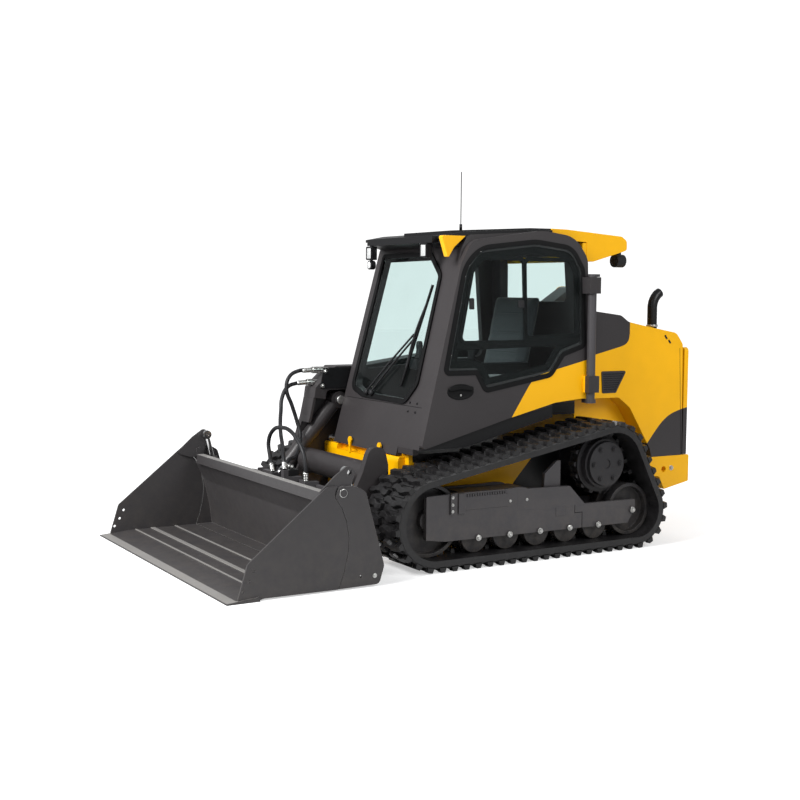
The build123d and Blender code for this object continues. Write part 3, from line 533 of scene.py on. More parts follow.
def curve_tube(name, look, points, radius, body=None, resolution=10):
    """Round tube along a smooth curve through the points, as a mesh."""
    data = bpy.data.curves.new(name, "CURVE")
    data.dimensions = "3D"
    data.bevel_depth = radius
    data.bevel_resolution = 5
    data.use_fill_caps = True
    spline = data.splines.new("BEZIER")
    spline.bezier_points.add(len(points) - 1)
    spline.resolution_u = resolution
    for knot, place in zip(spline.bezier_points, points):
        knot.co = place
        knot.handle_left_type = knot.handle_right_type = "AUTO"
    temp = bpy.data.objects.new(name, data)
    SCENE.collection.objects.link(temp)
    bpy.context.view_layer.update()
    mesh = bpy.data.meshes.new_from_object(temp.evaluated_get(bpy.context.evaluated_depsgraph_get()))
    bpy.data.objects.remove(temp)
    mesh.name = name
    mesh.materials.clear()
    mesh.materials.append(MATERIALS[look])
    mesh.polygons.foreach_set("use_smooth", [True] * len(mesh.polygons))
    obj = bpy.data.objects.new(name, mesh)
    SCENE.collection.objects.link(obj)
    if body:
        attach(obj, body)
    return obj


def join(name, objects):
    """One mesh object from several, for pieces that share a body."""
    bm = bmesh.new()
    materials = []
    for obj in objects:
        base = len(bm.faces)
        offset = len(materials)
        materials += [m for m in obj.data.materials]
        bm.from_mesh(obj.data)
        bm.faces.ensure_lookup_table()
        for face in bm.faces[base:]:
            face.material_index += offset
    mesh = bpy.data.meshes.new(name)
    bm.to_mesh(mesh)
    bm.free()
    for m in materials:
        mesh.materials.append(m)
    for obj in objects:
        bpy.data.objects.remove(obj)
    out = bpy.data.objects.new(name, mesh)
    SCENE.collection.objects.link(out)
    return out


# ------------------------------------------------------------------ rubber tracks

BELT_IN, BELT_OUT = 0.562, 0.962
BELT_WIDTH = BELT_OUT - BELT_IN
CARCASS, LUG = 0.045, 0.027
LUG_PITCH = 0.086
WHEELS = ((0.440, 0.294, 0.222), (-0.909, 0.555, 0.212), (-1.115, 0.243, 0.171))


def loop_parts(offset):
    """Arcs and straights of the belt loop at an offset outside the wheels."""
    out, turns = [], []
    count = len(WHEELS)
    for i in range(count):
        (ax, az, ar), (bx, bz, br) = WHEELS[i], WHEELS[(i + 1) % count]
        lean = (br - ar) / hypot(bx - ax, bz - az)
        turns.append(atan2(bz - az, bx - ax) - pi / 2 - atan2(lean, sqrt(1 - lean * lean)))
    for i in range(count):
        x, z, r = WHEELS[i]
        start, stop = turns[i - 1], turns[i]
        while stop < start:
            stop += 2 * pi
        out.append(("arc", (x, z), r + offset, start, stop))
        nx, nz, nr = WHEELS[(i + 1) % count]
        way = Vector((cos(stop), sin(stop)))
        out.append(("line", Vector((x, z)) + way * (r + offset),
                    Vector((nx, nz)) + way * (nr + offset), stop))
    return out


def run_of(part):
    return part[2] * (part[4] - part[3]) if part[0] == "arc" else (part[2] - part[1]).length


LOOP = loop_parts(CARCASS)
LOOP_LENGTH = sum(run_of(p) for p in LOOP)


def loop_point(s, height, y):
    """Point at length s along the belt's outer face, height above it, at y."""
    s %= LOOP_LENGTH
    for part in LOOP:
        run = run_of(part)
        if s <= run:
            if part[0] == "arc":
                a = part[3] + s / part[2]
                r = part[2] + height
                return Vector((part[1][0] + r * cos(a), y, part[1][1] + r * sin(a)))
            p = part[1].lerp(part[2], s / run) + Vector((cos(part[3]), sin(part[3]))) * height
            return Vector((p.x, y, p.y))
        s -= run
    return loop_point(0, height, y)


# half-width of a lug along the belt at its tip and root, and the zigzag of its middle line
# across the belt: share of the width, shift along the belt
LUG_TIP, LUG_ROOT = 0.017, 0.024
ZIGZAG = ((0.0, -0.004), (0.09, -0.002), (0.17, 0.011), (0.27, 0.011), (0.35, -0.004),
          (0.44, -0.006), (0.485, 0.0))


def add_strip(bm, rows):
    """Faces along open rows of points, closed by a face at each end."""
    for a, b in zip(rows, rows[1:]):
        for p in range(len(a) - 1):
            bm.faces.new((a[p], b[p], b[p + 1], a[p + 1]))
    bm.faces.new(rows[0])
    bm.faces.new(list(reversed(rows[-1])))


def add_carcass(bm, side, slices):
    """A thin section with rounded edges, swept round the loop."""
    rim = ((0.0, -CARCASS), (0.0, -0.008), (0.006, 0.0), (BELT_WIDTH - 0.006, 0.0),
           (BELT_WIDTH, -0.008), (BELT_WIDTH, -CARCASS))
    rows = []
    for k in range(slices):
        s = LOOP_LENGTH * k / slices
        rows.append([bm.verts.new(loop_point(s, h, side * (BELT_IN + w))) for w, h in rim])
    for k in range(slices):
        a, b = rows[k], rows[(k + 1) % slices]
        for i in range(len(rim)):
            j = (i + 1) % len(rim)
            bm.faces.new((a[i], b[i], b[j], a[j]))


def add_lug(bm, side, middle, outer):
    """One zigzag lug across the inner or the outer half of the belt."""
    rows = []
    for share, shift in ZIGZAG:
        y = BELT_IN + BELT_WIDTH * (1 - share if outer else share)
        thin = 0.82 if share in (0.0, 0.485) else 1.0
        s = middle + shift * (-1 if outer else 1)
        tip = LUG_TIP * thin
        section = ((-LUG_ROOT, -0.002), (-tip, LUG * 0.97), (-tip * 0.72, LUG), (tip * 0.72, LUG),
                   (tip, LUG * 0.97), (LUG_ROOT, -0.002))
        rows.append([bm.verts.new(loop_point(s + along, height, side * y)) for along, height in section])
    add_strip(bm, rows)


def add_valley_bar(bm, side, middle, outer):
    """Small bar in the valley beside a lug."""
    section = ((-0.008, -0.002), (-0.005, 0.007), (0.005, 0.007), (0.008, -0.002))
    rows = [[bm.verts.new(loop_point(middle + along, height, side * (BELT_IN + BELT_WIDTH * share)))
             for along, height in section] for share in ((0.60, 0.90) if outer else (0.10, 0.40))]
    add_strip(bm, rows)


def add_guides(bm, side, s):
    """Pair of guide lugs inside the loop, between the wheels' rims."""
    centre, inset = side * (BELT_IN + BELT_OUT) / 2, 0.004
    for y0, y1 in ((-0.034, -0.016), (0.016, 0.034)):
        base = [bm.verts.new(loop_point(s + a, -CARCASS + 0.001, centre + y))
                for a, y in ((-0.016, y0), (0.016, y0), (0.016, y1), (-0.016, y1))]
        tip = [bm.verts.new(loop_point(s + a, -CARCASS - 0.024, centre + y))
               for a, y in ((-0.010, y0 + inset), (0.010, y0 + inset), (0.010, y1 - inset),
                            (-0.010, y1 - inset))]
        bm.faces.new(base)
        bm.faces.new(list(reversed(tip)))
        bridge(bm, [base, tip])


def track(name, side, node):
    """Belt with zigzag tread lugs outside, staggered by half a pitch, and guide lugs inside."""
    bm = bmesh.new()
    count = round(LOOP_LENGTH / LUG_PITCH)
    step = LOOP_LENGTH / count
    add_carcass(bm, side, count * 4)
    for i in range(count):
        inner, outer = i * step, (i + 0.5) * step
        add_lug(bm, side, inner, False)
        add_lug(bm, side, outer, True)
        add_valley_bar(bm, side, outer, False)
        add_valley_bar(bm, side, inner, True)
    for i in range(count):
        add_guides(bm, side, (i + 0.5) * step)
    obj = make(name, bm, "tread", "chassis", smooth=False)
    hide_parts(node)


track("tread_left", 1, "track_left")
track("tread_right", -1, "track_right")


# ------------------------------------------------------------------ cab front

GLASS_FRONT = [(-0.285, 1.01, 0.07), (-0.115, 0.968, 0.07), (0.425, 0.962, 0.07),
               (0.522, 1.085, 0.07), (0.492, 1.768, 0.07), (0.318, 1.902, 0.02),
               (-0.285, 1.902, 0.02)]


def windscreen_seal():
    bm = bmesh.new()
    add_ring(bm, grow(GLASS_FRONT, 0.006), grow(GLASS_FRONT, -0.024), on_front, 0.004, 0.0135)
    return make("windscreen_seal", bm, "seal", "chassis", bevel=0.002)


windscreen_seal()

WIPER_PIVOT, WIPER_JOINT = (-0.046, 1.0), (0.375, 1.388)
WIPER_TOP, WIPER_BOTTOM = (0.436, 1.70), (0.345, 1.06)


def wiper():
    """Two parallel arms, their motor cap and a long blade."""
    pieces = []
    lift = 0.030
    for dy in (0.0, 0.062):
        a = on_front(WIPER_PIVOT[0] + dy, WIPER_PIVOT[1], lift)
        b = on_front(WIPER_JOINT[0] + dy * 0.35, WIPER_JOINT[1] - dy * 0.3, lift)
        knee = a.lerp(b, 0.5) + Vector((0.006, 0, 0))
        pieces.append(curve_tube("wiper_arm", "plastic", [a, knee, b], 0.0065, resolution=4))
        bm = bmesh.new()
        add_turned(bm, [(0.019, -0.020), (0.019, 0.004), (0.012, 0.010)], a, (1, 0, 0.27), 20)
        pieces.append(make("wiper_hub", bm, "plastic", None))
    top, bottom = on_front(*WIPER_TOP, 0.016), on_front(*WIPER_BOTTOM, 0.016)
    pieces.append(curve_tube("wiper_blade", "seal", [top, bottom], 0.009, resolution=2))
    spine_a, spine_b = top.lerp(bottom, 0.12), top.lerp(bottom, 0.88)
    middle = on_front(WIPER_JOINT[0] + 0.012, WIPER_JOINT[1] - 0.01, 0.032)
    pieces.append(curve_tube("wiper_spine", "plastic", [spine_a, middle, spine_b], 0.006, resolution=6))
    obj = join("wiper_linkage", pieces)
    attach(obj, "chassis")
    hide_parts("wiper")


wiper()

# lower front panel: fold line and four fasteners in a square
plates("front_seam", "seal", "chassis", on_front, [box_points(-0.33, 0.62, 0.9455, 0.9485)], -0.001, 0.0006)
plates("pillar_gap", "seal", "door", on_front,
       [[(left_y(z) - inset, z)
         for z, inset in ((0.74, 0.030), (0.74, 0.016), (1.80, 0.016), (1.80, 0.030))]],
       0.001, 0.003)
bolts("front_fasteners", "chassis",
      [on_front(y, z) for y in (0.475, 0.56) for z in (0.915, 0.968)], (1, 0, 0.27), 0.006, "black_paint")


# ------------------------------------------------------------------ door

DOOR_GLASS = [(0.230, 1.176, 0.01), (0.082, 1.80, 0.22), (-0.02, 1.915, 0.22), (-0.45, 1.964, 0.30),
              (-0.735, 1.932, 0.12), (-0.815, 1.805, 0.08), (-0.815, 1.326, 0.02),
              (-0.65, 1.276, 0.06), (-0.548, 1.146, 0.06), (-0.056, 1.064, 0.02), (0.008, 1.176, 0.02)]

FRONT_SASH = [(0.128, 1.352, 0.03), (-0.358, 1.352, 0.02), (-0.352, 1.862, 0.03), (0.012, 1.862, 0.05)]
REAR_SASH = [(-0.372, 1.376, 0.03), (-0.808, 1.392, 0.03), (-0.79, 1.862, 0.04), (-0.372, 1.862, 0.03)]


def door_inner(x, z, out=0.0):
    """Glass plane inside the door frame."""
    return on_door(x, z, out - 0.012)


def door_trim():
    """Printed border of the glass, sliding sashes and belt rail."""
    bm = bmesh.new()
    add_ring(bm, grow(DOOR_GLASS, -0.002), grow(DOOR_GLASS, -0.058), door_inner, 0.0, 0.004)
    make("door_border", bm, "seal", "door")
    bm = bmesh.new()
    add_ring(bm, grow(DOOR_GLASS, 0.030), grow(DOOR_GLASS, -0.002), on_door, 0.0005, 0.003)
    make("door_seal", bm, "seal", "door")
    bm = bmesh.new()
    for outline in (FRONT_SASH, REAR_SASH):
        add_ring(bm, grow(outline, 0.020), grow(outline, -0.006), door_inner, -0.004, 0.010)
    make("door_sashes", bm, "seal", "door", bevel=0.002)
    plates("door_belt_rail", "seal", "door", door_inner,
           [[(0.17, 1.300, 0.01), (-0.70, 1.318, 0.01), (-0.76, 1.372, 0.01), (0.155, 1.348, 0.01)]],
           -0.006, 0.008, bevel=0.003)
    plates("sash_latches", "plastic", "door", door_inner,
           [box_points(-0.345, -0.300, 1.56, 1.61, 0.008), box_points(0.035, 0.065, 1.55, 1.62, 0.008)],
           0.006, 0.024, bevel=0.003)


door_trim()


def door_handle():
    """Recessed dish with a pull bar across it."""
    bm = bmesh.new()
    x, z, rx, rz = 0.139, 1.046, 0.092, 0.046
    turns = [2 * pi * k / 40 for k in range(40)]
    rows = []
    for share, out in ((1.06, 0.0005), (1.0, 0.006), (0.88, 0.003), (0.6, 0.0015), (0.2, 0.001)):
        rows.append([bm.verts.new(on_door(x + rx * share * cos(a), z + rz * share * sin(a), out))
                     for a in turns])
    bridge(bm, rows)
    bm.faces.new(rows[-1])
    make("handle_dish", bm, "seal", "door")
    bm = bmesh.new()
    add_plate(bm, [(0.048, 1.052, 0.01), (0.052, 1.078, 0.012), (0.14, 1.088, 0.03), (0.226, 1.078, 0.012),
                   (0.232, 1.052, 0.01), (0.14, 1.062, 0.03)], on_door, 0.006, 0.018)
    make("handle_pull", bm, "seal", "door", bevel=0.004)
    turned("handle_lock", "zinc", "door", [(0.007, 0.0), (0.007, 0.007), (0.005, 0.008)],
           on_door(x, 1.026, -0.002), (0, 1, 0), 20)


door_handle()


# ------------------------------------------------------------------ lamps

LAMP_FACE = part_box("work_lights")[1].x
TAIL_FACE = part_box("rear_light")[0].x
LAMP_HIGH = 0.09


def lamp(name, y0, y1, z0):
    """Bezel and lens on the front face of a square lamp."""
    z1 = z0 + LAMP_HIGH
    outer = box_points(y0, y1, z0, z1, 0.012)
    bm = bmesh.new()
    add_ring(bm, grow(outer, -0.002), grow(outer, -0.010), at_x(LAMP_FACE), -0.001, 0.005)
    make(name + "_bezel", bm, "black_paint", "chassis", bevel=0.0015)
    bm = bmesh.new()
    points = rounded(grow(outer, -0.009))
    cy, cz = (y0 + y1) / 2, (z0 + z1) / 2
    rows = []
    for f in (1.0, 0.75, 0.5, 0.25):
        x = LAMP_FACE + 0.001 + 0.003 * (1 - f * f)
        rows.append([bm.verts.new((x, cy + (p.x - cy) * f, cz + (p.y - cz) * f)) for p in points])
    bridge(bm, rows)
    bm.faces.new(rows[-1])
    make(name + "_lens", bm, "lens", "chassis")


lamp("lamp_right", -0.286, -0.210, 1.866)
lamp("lamp_left", 0.398, 0.476, 1.869)
turned("round_lens", "lens", "chassis", [(0.024, -0.001), (0.022, 0.004), (0.010, 0.006)],
       (LAMP_FACE, -0.246, 1.832), (1, 0, 0), 32)
turned("tail_lens", "amber", "chassis", [(0.036, -0.001), (0.034, 0.004), (0.010, 0.006)],
       (TAIL_FACE, 0.548, 1.876), (-1, 0, 0), 32)


# ------------------------------------------------------------------ rear body

def vent():
    """Trapezoid air inlet with slats over a black sheet of painted shade."""
    outline = [(-1.030, 1.136, 0.006), (-1.234, 1.136, 0.006), (-1.150, 0.998, 0.006), (-1.040, 0.998, 0.006)]
    bm = bmesh.new()
    add_ring(bm, grow(outline, 0.004), grow(outline, -0.007), on_body, -0.001, 0.006)
    for k in range(9):
        z = 1.008 + 0.0145 * k
        right = -1.150 + (-1.234 + 1.150) * (z - 0.998) / 0.138 + 0.006
        left = -1.040 + (-1.030 + 1.040) * (z - 0.998) / 0.138 - 0.006
        add_plate(bm, [(left, z), (right, z), (right, z + 0.006), (left, z + 0.006)], on_body, 0.0006, 0.004)
    make("side_vent", bm, "charcoal", "chassis", bevel=0.0008)
    # black sheet behind the slats is painted shade, standing in for the dark inside of the inlet
    plates("vent_painted_shade", "plastic", "chassis", on_body, [grow(outline, -0.004)], -0.001, 0.0008)


vent()
plates("body_shut_line", "seal", "chassis", on_body,
       [[(-1.7215, 1.285), (-1.7245, 1.285), (-1.7575, 0.545), (-1.7545, 0.545)]], -0.001, 0.0006)
plates("hood_latch", "plastic", "chassis", on_body,
       [[(-1.578, 1.372, 0.003), (-1.588, 1.378, 0.003), (-1.606, 1.352, 0.003), (-1.596, 1.346, 0.003)],
        [(-1.612, 1.338, 0.003), (-1.622, 1.344, 0.003), (-1.640, 1.322, 0.003), (-1.630, 1.316, 0.003)]],
       -0.001, 0.004, bevel=0.001)


def grille():
    """Louvred outlet in the rear door with two tail lamps below."""
    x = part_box("rear_door")[0].x

    def back(y, z, out=0.0):
        return Vector((x - out, y, z))

    bm = bmesh.new()
    frame_line = box_points(-0.24, 0.50, 0.93, 1.22, 0.02)
    add_ring(bm, grow(frame_line, 0.018), frame_line, back, -0.001, 0.006)
    for k in range(11):
        z = 0.938 + 0.026 * k
        add_plate(bm, box_points(-0.24, 0.50, z, z + 0.012), back, 0.0, 0.005)
    make("rear_grille", bm, "black_paint", "rear_door")
    plates("rear_latch", "plastic", "rear_door", back, [box_points(0.54, 0.62, 0.86, 0.90, 0.012)],
           0, 0.007, bevel=0.003)
    bm = bmesh.new()
    for y in (-0.25, 0.56):
        for z in (0.66, 0.74):
            add_turned(bm, [(0.038, -0.001), (0.038, 0.005), (0.030, 0.007)], back(y, z), (-1, 0, 0), 28)
    make("tail_lamps", bm, "amber", "rear_door")


grille()
turned("exhaust_clamp", "zinc", "chassis", [(0.038, 0), (0.040, 0.004), (0.040, 0.014), (0.038, 0.018)],
       (-1.654, 0.45, 1.425), (0, 0, 1), 32)
bolts("bumper_bolts", "chassis", [Vector((-1.668, BODY_LEFT, 0.455))], (0, 1, 0), 0.013)


# ------------------------------------------------------------------ track frames

def frame_details(side):
    """Roller bolts, tensioner rack and plugs on one track frame."""
    tag = "left" if side > 0 else "right"
    y = 0.885 * side

    def face(x, z, out=0.0):
        return Vector((x, y + out * side, z))

    way = (0, side, 0)
    places = [face(x, 0.17, 0.012) for x in (0.107, -0.127, -0.361, -0.595, -0.829)]
    places.append(face(-1.115, 0.243, 0.012))
    bolts("roller_bolts_" + tag, "chassis", places, way, 0.014)
    bm = bmesh.new()
    add_plate(bm, box_points(0.284, 0.312, 0.325, 0.450, 0.004), face, -0.001, 0.014)
    add_plate(bm, box_points(0.204, 0.252, 0.325, 0.450, 0.004), face, -0.001, 0.010)
    add_plate(bm, box_points(-0.120, 0.204, 0.345, 0.425, 0.004), face, -0.001, 0.004)
    for k in range(16):
        x = -0.100 + 0.0185 * k
        add_plate(bm, box_points(x, x + 0.010, 0.425, 0.442), face, -0.001, 0.007)
    add_plate(bm, [(-0.49, 0.25), (-0.56, 0.25), (-0.56, 0.308), (-0.49, 0.308)], face, -0.001, 0.003)
    # gusset behind the side plate, and the side plate's rear part
    add_plate(bm, [(-0.416, 0.40), (-0.425, 0.520, 0.01), (-0.520, 0.598, 0.02), (-0.548, 0.598),
                   (-0.548, 0.40)], face, -0.060, -0.034)
    add_plate(bm, [(-0.190, 0.320), (-0.190, 0.444), (-0.600, 0.436, 0.02), (-0.720, 0.316, 0.02),
                   (-0.720, 0.300), (-0.400, 0.300)], face, -0.030, 0.0006)
    make("frame_plates_" + tag, bm, "frame_paint", "chassis", bevel=0.0015)
    small = [face(0.298, z, 0.014) for z in (0.345, 0.385, 0.43)] + [face(x, 0.375) for x in (-0.135, -0.262)]
    bolts("frame_bolts_" + tag, "chassis", small, way, 0.007)
    seams = [[(-0.640, 0.312), (-0.644, 0.312), (-0.644, 0.262), (-0.640, 0.262)],
             [(-0.640, 0.262), (-0.700, 0.262), (-0.700, 0.258), (-0.640, 0.258)],
             [(-0.700, 0.262), (-0.704, 0.262), (-0.704, 0.160), (-0.700, 0.160)]]
    plates("frame_seams_" + tag, "seal", "chassis", face, seams, -0.001, 0.0008)


frame_details(1)
frame_details(-1)


def hub_bolts(side):
    x, z = WHEELS[1][:2]
    middle = (BELT_IN + BELT_OUT) / 2
    places = [Vector((x + 0.108 * cos(a), side * (middle + 0.117), z + 0.108 * sin(a)))
              for a in (2 * pi * k / 6 for k in range(6))]
    bolts("hub_bolts_" + ("left" if side > 0 else "right"), "chassis", places, (0, side, 0), 0.012, "cast")


hub_bolts(1)
hub_bolts(-1)


# ------------------------------------------------------------------ arm, hoses and bucket

KNEE_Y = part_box("knee_cover")[1].y
# rear edge of the arm's leg, which clears the cab, and the corner between door frame and rear roof
plates("leg_web", "charcoal", "boom", at_y(-0.545),
       [[(0.480, 0.420, 0.06), (0.398, 0.590), (0.398, 0.668), (0.306, 0.668, 0.01), (0.296, 0.900),
         (0.540, 0.900), (0.560, 0.420)]], 0.002, 0.046, bevel=0.004)
plates("roof_corner", "yellow", "chassis", at_y(0.560),
       [[(-0.874, 1.870), (-0.906, 1.870), (-0.906, 1.985), (-0.874, 1.985)]], 0.0, 0.070, bevel=0.004)
KNEE_BOLTS = ((0.275, 1.118), (0.275, 1.02), (0.493, 1.118), (0.512, 1.02))
bolts("knee_bolts", "boom", [Vector((x, KNEE_Y, z)) for x, z in KNEE_BOLTS], (0, 1, 0), 0.011)
TILT_HEAD = (0.376, 0.921)
turned("tilt_pin_cap", "zinc", "boom", [(0.030, -0.001), (0.030, 0.006), (0.026, 0.009), (0.012, 0.010)],
       (TILT_HEAD[0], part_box("boom_arm")[1].y - 0.0005, TILT_HEAD[1]), (0, 1, 0), 32)

UPPER_HOSE = [(0.5603, -0.470, 1.122), (0.650, -0.470, 1.118), (0.722, -0.462, 1.080), (0.748, -0.450, 1.000),
              (0.712, -0.440, 0.890), (0.684, -0.425, 0.790), (0.680, -0.380, 0.700), (0.715, -0.320, 0.630),
              (0.790, -0.230, 0.575), (0.890, -0.140, 0.560), (0.935, -0.110, 0.500)]
LOWER_HOSE = [(0.6003, -0.470, 1.040), (0.660, -0.470, 1.036), (0.735, -0.462, 1.012), (0.785, -0.440, 0.945),
              (0.815, -0.395, 0.865), (0.860, -0.310, 0.800), (0.910, -0.200, 0.740), (0.965, -0.060, 0.680),
              (1.010, 0.050, 0.620), (1.030, 0.110, 0.545)]
ARCH_HOSE = [(1.000, -0.130, 0.500), (1.000, -0.170, 0.600), (1.000, -0.190, 0.690), (1.000, -0.120, 0.770),
             (1.000, 0.000, 0.797), (1.000, 0.120, 0.790), (1.000, 0.220, 0.745), (1.000, 0.300, 0.680),
             (1.000, 0.336, 0.600), (1.000, 0.340, 0.500)]
HOSE_R = 0.013


def ferrule(place, way):
    """Crimped hose end."""
    bm = bmesh.new()
    profile = [(0.014, 0.0)]
    for k in range(5):
        profile += [(0.0165, 0.004 + 0.010 * k), (0.0165, 0.010 + 0.010 * k), (0.0152, 0.0115 + 0.010 * k)]
    add_turned(bm, profile + [(0.0135, 0.062)], place, way, 24)
    return make("ferrule", bm, "zinc", None)


def hoses(name, routes, replaced):
    pieces = []
    for route in routes:
        points = [Vector(p) for p in route]
        pieces.append(curve_tube("hose", "hose", points, HOSE_R))
        pieces.append(ferrule(points[0], points[1] - points[0]))
        pieces.append(ferrule(points[-1], points[-2] - points[-1]))
    obj = join(name, pieces)
    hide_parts(replaced)
    return obj


supply = hoses("supply_hose_pair", [UPPER_HOSE, LOWER_HOSE], "supply_hoses")
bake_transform(supply)
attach(hoses("arch_hose", [ARCH_HOSE], "bucket_hose"), "bucket")

HALF, RAIL_TOP = 1.067, 0.525
STRIPS = ((1.30, 0.012), (1.455, 0.030), (1.585, 0.012))       # rear edge, width
plates("floor_strips", "wear_steel", "clam", at_z(0.026),
       [box_points(x, x + width, -1.05, 1.05) for x, width in STRIPS], -0.001, 0.005, bevel=0.0015)


def edge_plate():
    """Worn cutting edge on the lip."""
    bm = bmesh.new()
    add_plate(bm, [(1.645, 0.0218), (1.828, 0.0064), (1.828, 0.0072), (1.645, 0.0240)],
              lambda x, z, out=0.0: Vector((x, out, z)), -HALF - 0.003, HALF + 0.003)
    return make("cutting_edge", bm, "wear_steel", "clam")


edge_plate()
plates("rail_cap", "wear_steel", "bucket", at_z(RAIL_TOP),
       [box_points(1.131, 1.175, -0.965, 0.965, 0.004)], -0.001, 0.002, bevel=0.001)
CLAM_X, CLAM_Z = 1.133, 0.543
for side in (1, -1):
    tag = "left" if side > 0 else "right"
    bolts("bucket_bolts_" + tag, "bucket", [Vector((0.93, side * HALF, 0.062))], (0, side, 0), 0.010)
    turned("clam_pin_ring_" + tag, "zinc", "clam",
           [(0.024, -0.001), (0.024, 0.0022), (0.019, 0.0028), (0.012, 0.0014), (0.006, 0.001)],
           (CLAM_X, side * HALF, CLAM_Z), (0, side, 0), 32)

# valve block and fittings on the hitch's top bar, under the hoses
VALVE_TOP = 0.536
bm = bmesh.new()
add_plate(bm, box_points(0.905, 0.985, -0.062, 0.062, 0.006), at_z(0.0), 0.478, VALVE_TOP)
make("valve_block", bm, "black_paint", "bucket", bevel=0.003)
bm = bmesh.new()
for y in (-0.04, 0.0, 0.04):
    add_turned(bm, [(0.012, 0.0), (0.012, 0.014), (0.009, 0.018), (0.009, 0.026)],
               (0.945, y, VALVE_TOP), (0, 0, 1), 6)
make("valve_plugs", bm, "zinc", "bucket")


# ------------------------------------------------------------------ seat and controls

def cushion(name, low, high, lean=0.0, channels=3):
    """Crowned pad between two corners, with sewn channels across its face; lean shears it back."""
    bm = bmesh.new()
    nu, nv = 26, 26
    low, high = Vector(low), Vector(high)
    size = high - low
    thin = min(range(3), key=lambda k: size[k])
    flat = [k for k in range(3) if k != thin]
    sheets = []
    for side in (0, 1):
        grid = []
        for i in range(nu + 1):
            row = []
            for j in range(nv + 1):
                u, v = i / nu, j / nv
                edge = min(u, 1 - u, v, 1 - v)
                crown = sqrt(max(0.0, min(1.0, edge / 0.14)))
                seam = 1.0
                for c in range(1, channels):
                    seam = min(seam, abs(v - c / channels) / 0.03)
                seam = 0.72 + 0.28 * min(1.0, seam)
                half = size[thin] / 2 * (0.25 + 0.75 * crown) * (seam if side else 1.0)
                p = Vector((0, 0, 0))
                pinch = 0.012 * (1 - crown)
                p[flat[0]] = low[flat[0]] + size[flat[0]] * u + pinch * (0.5 - u)
                p[flat[1]] = low[flat[1]] + size[flat[1]] * v + pinch * (0.5 - v)
                p[thin] = low[thin] + size[thin] / 2 + (half if side else -half)
                p.x += lean * (p.z - low.z)
                row.append(bm.verts.new(p))
            grid.append(row)
        sheets.append(grid)
        for i in range(nu):
            for j in range(nv):
                bm.faces.new((grid[i][j], grid[i + 1][j], grid[i + 1][j + 1], grid[i][j + 1]))
    ring = ([(i, 0) for i in range(nu)] + [(nu, j) for j in range(nv)] +
            [(i, nv) for i in range(nu, 0, -1)] + [(0, j) for j in range(nv, 0, -1)])
    for (a, b), (c, d) in zip(ring, ring[1:] + ring[:1]):
        bm.faces.new((sheets[0][a][b], sheets[0][c][d], sheets[1][c][d], sheets[1][a][b]))
    obj = make(name, bm, "cloth", "chassis")
    obj.modifiers.new("soft", "SUBSURF").render_levels = 1
    return obj


seat_pad = cushion("seat_cushion", (-0.615, -0.105, 1.002), (-0.185, 0.365, 1.105))
seat_back = cushion("seat_backrest", (-0.655, -0.105, 1.105), (-0.565, 0.365, 1.63), lean=-0.22, channels=4)
plates("seat_base", "plastic", "chassis", at_z(0.0), [box_points(-0.598, -0.222, -0.058, 0.318, 0.02)],
       0.932, 1.001, bevel=0.006)
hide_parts("seat")
LEVER_X, CONSOLE_TOP = -0.13, 1.2
for tag, y in (("right", -0.185), ("left", 0.445)):
    turned("grip_" + tag, "plastic", "chassis",
           [(0.017, 0.02), (0.026, 0.028), (0.021, 0.06), (0.024, 0.09), (0.020, 0.115), (0.008, 0.119)],
           (LEVER_X, y, CONSOLE_TOP), (0, 0, 1), 24)
    turned("gaiter_" + tag, "seal", "chassis",
           [(0.042, 0.001), (0.034, 0.008), (0.038, 0.012), (0.028, 0.02), (0.031, 0.024), (0.018, 0.034)],
           (LEVER_X, y, CONSOLE_TOP), (0, 0, 1), 24)
plates("headliner", "trim", "chassis", at_z(0.0), [box_points(-0.80, -0.02, -0.28, 0.56, 0.03)],
       1.93, 1.945, bevel=0.004)


# ------------------------------------------------------------------ floor, light, camera

def floor():
    size = 40.0
    bm = bmesh.new()
    for x, y in ((-size, -size), (size, -size), (size, size), (-size, size)):
        bm.verts.new((x, y, -0.0005))
    bm.faces.new(bm.verts)
    mesh = bpy.data.meshes.new("floor")
    bm.to_mesh(mesh)
    bm.free()
    n = Nodes("floor")
    body = n.add("ShaderNodeBsdfDiffuse")
    n.wire(n.mix(n.noise(0.6), (0.62, 0.62, 0.625), (0.64, 0.64, 0.64)), body.inputs["Color"])
    # a little of its own light keeps the floor white where the lamps fade out
    glow = n.add("ShaderNodeEmission")
    path = n.add("ShaderNodeLightPath")
    away = n.math("SQRT", n.math("ADD", n.math("POWER", n.x, 2.0), n.math("POWER", n.y, 2.0)))
    n.wire(n.math("MULTIPLY", path.outputs["Is Camera Ray"], n.span(away, 1.0, 6.0, 0.45, 0.85)),
           glow.inputs["Strength"])
    total = n.add("ShaderNodeAddShader")
    n.wire(body.outputs[0], total.inputs[0])
    n.wire(glow.outputs[0], total.inputs[1])
    n.wire(total.outputs[0], n.out.inputs[0])
    obj = bpy.data.objects.new("floor", mesh)
    obj.data.materials.append(n.material)
    SCENE.collection.objects.link(obj)


floor()


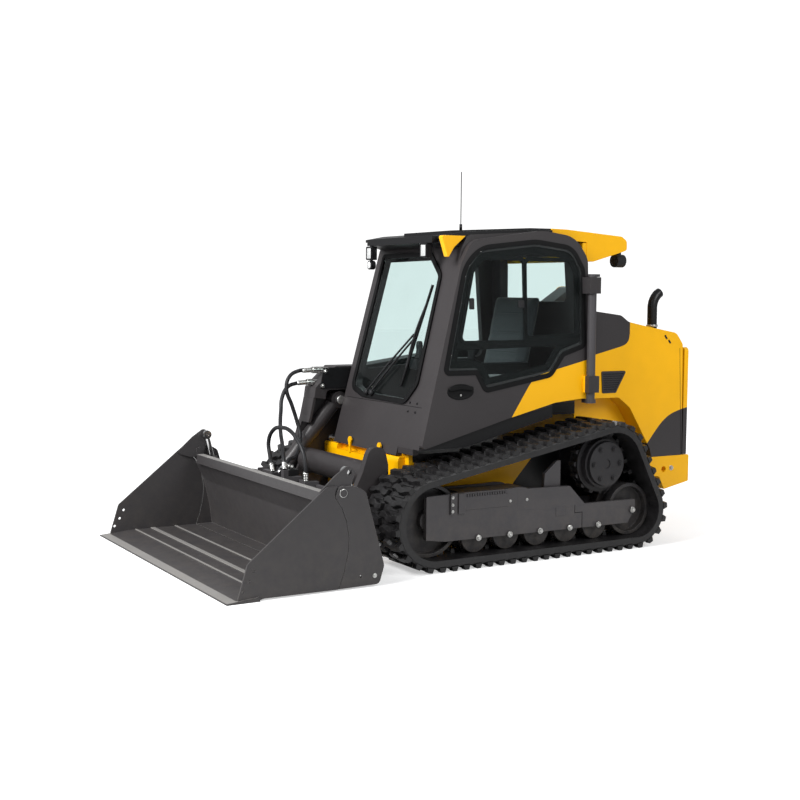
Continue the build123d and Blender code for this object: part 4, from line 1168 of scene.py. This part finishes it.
def world():
    made = bpy.data.worlds.new("studio")
    made.use_nodes = True
    tree = made.node_tree
    tree.nodes.clear()
    out = tree.nodes.new("ShaderNodeOutputWorld")
    light, seen = tree.nodes.new("ShaderNodeBackground"), tree.nodes.new("ShaderNodeBackground")
    light.inputs["Color"].default_value = (0.97, 0.985, 1.0, 1)
    light.inputs["Strength"].default_value = 0.42
    seen.inputs["Color"].default_value = (1, 1, 1, 1)
    seen.inputs["Strength"].default_value = 1.15
    path = tree.nodes.new("ShaderNodeLightPath")
    both = tree.nodes.new("ShaderNodeMath")
    both.operation = "MAXIMUM"
    tree.links.new(path.outputs["Is Camera Ray"], both.inputs[0])
    tree.links.new(path.outputs["Is Transmission Ray"], both.inputs[1])
    pick = tree.nodes.new("ShaderNodeMixShader")
    tree.links.new(both.outputs[0], pick.inputs[0])
    tree.links.new(light.outputs[0], pick.inputs[1])
    tree.links.new(seen.outputs[0], pick.inputs[2])
    tree.links.new(pick.outputs[0], out.inputs[0])
    SCENE.world = made


world()


def softbox(name, place, target, size, power):
    data = bpy.data.lights.new(name, "AREA")
    data.shape, data.size, data.energy = "DISK", size, power
    obj = bpy.data.objects.new(name, data)
    SCENE.collection.objects.link(obj)
    obj.location = place
    obj.rotation_euler = (Vector(target) - Vector(place)).to_track_quat("-Z", "Y").to_euler()


softbox("key", (7.0, 1.0, 6.0), (0.2, 0, 0.6), 4.5, 1150)
softbox("side", (-2.0, 7.0, 5.5), (-0.4, 0.4, 0.9), 4.0, 290)
softbox("rear", (-5.5, -4.5, 5.5), (-0.5, 0, 1.0), 4.0, 150)

CAMERA_AT = Vector((4.398, 7.08, 1.65))
YAW, PITCH, ROLL = radians(30.6), radians(4.0), radians(0.5)
FOCAL, FRAME_PX = 1251.35, 800


def camera():
    forward = Vector((-sin(YAW) * cos(PITCH), -cos(YAW) * cos(PITCH), -sin(PITCH)))
    right = forward.cross(Vector((0, 0, 1))).normalized()
    up = right.cross(forward)
    r = right * cos(ROLL) + up * sin(ROLL)
    u = up * cos(ROLL) - right * sin(ROLL)
    data = bpy.data.cameras.new("camera")
    data.sensor_width = 36
    data.lens = FOCAL * 36 / FRAME_PX
    data.shift_x, data.shift_y = 0.0125, -0.025
    obj = bpy.data.objects.new("camera", data)
    SCENE.collection.objects.link(obj)
    obj.matrix_world = Matrix(((r.x, u.x, -forward.x, CAMERA_AT.x), (r.y, u.y, -forward.y, CAMERA_AT.y),
                               (r.z, u.z, -forward.z, CAMERA_AT.z), (0, 0, 0, 1)))
    SCENE.camera = obj


camera()
SCENE.view_settings.view_transform = "Standard"
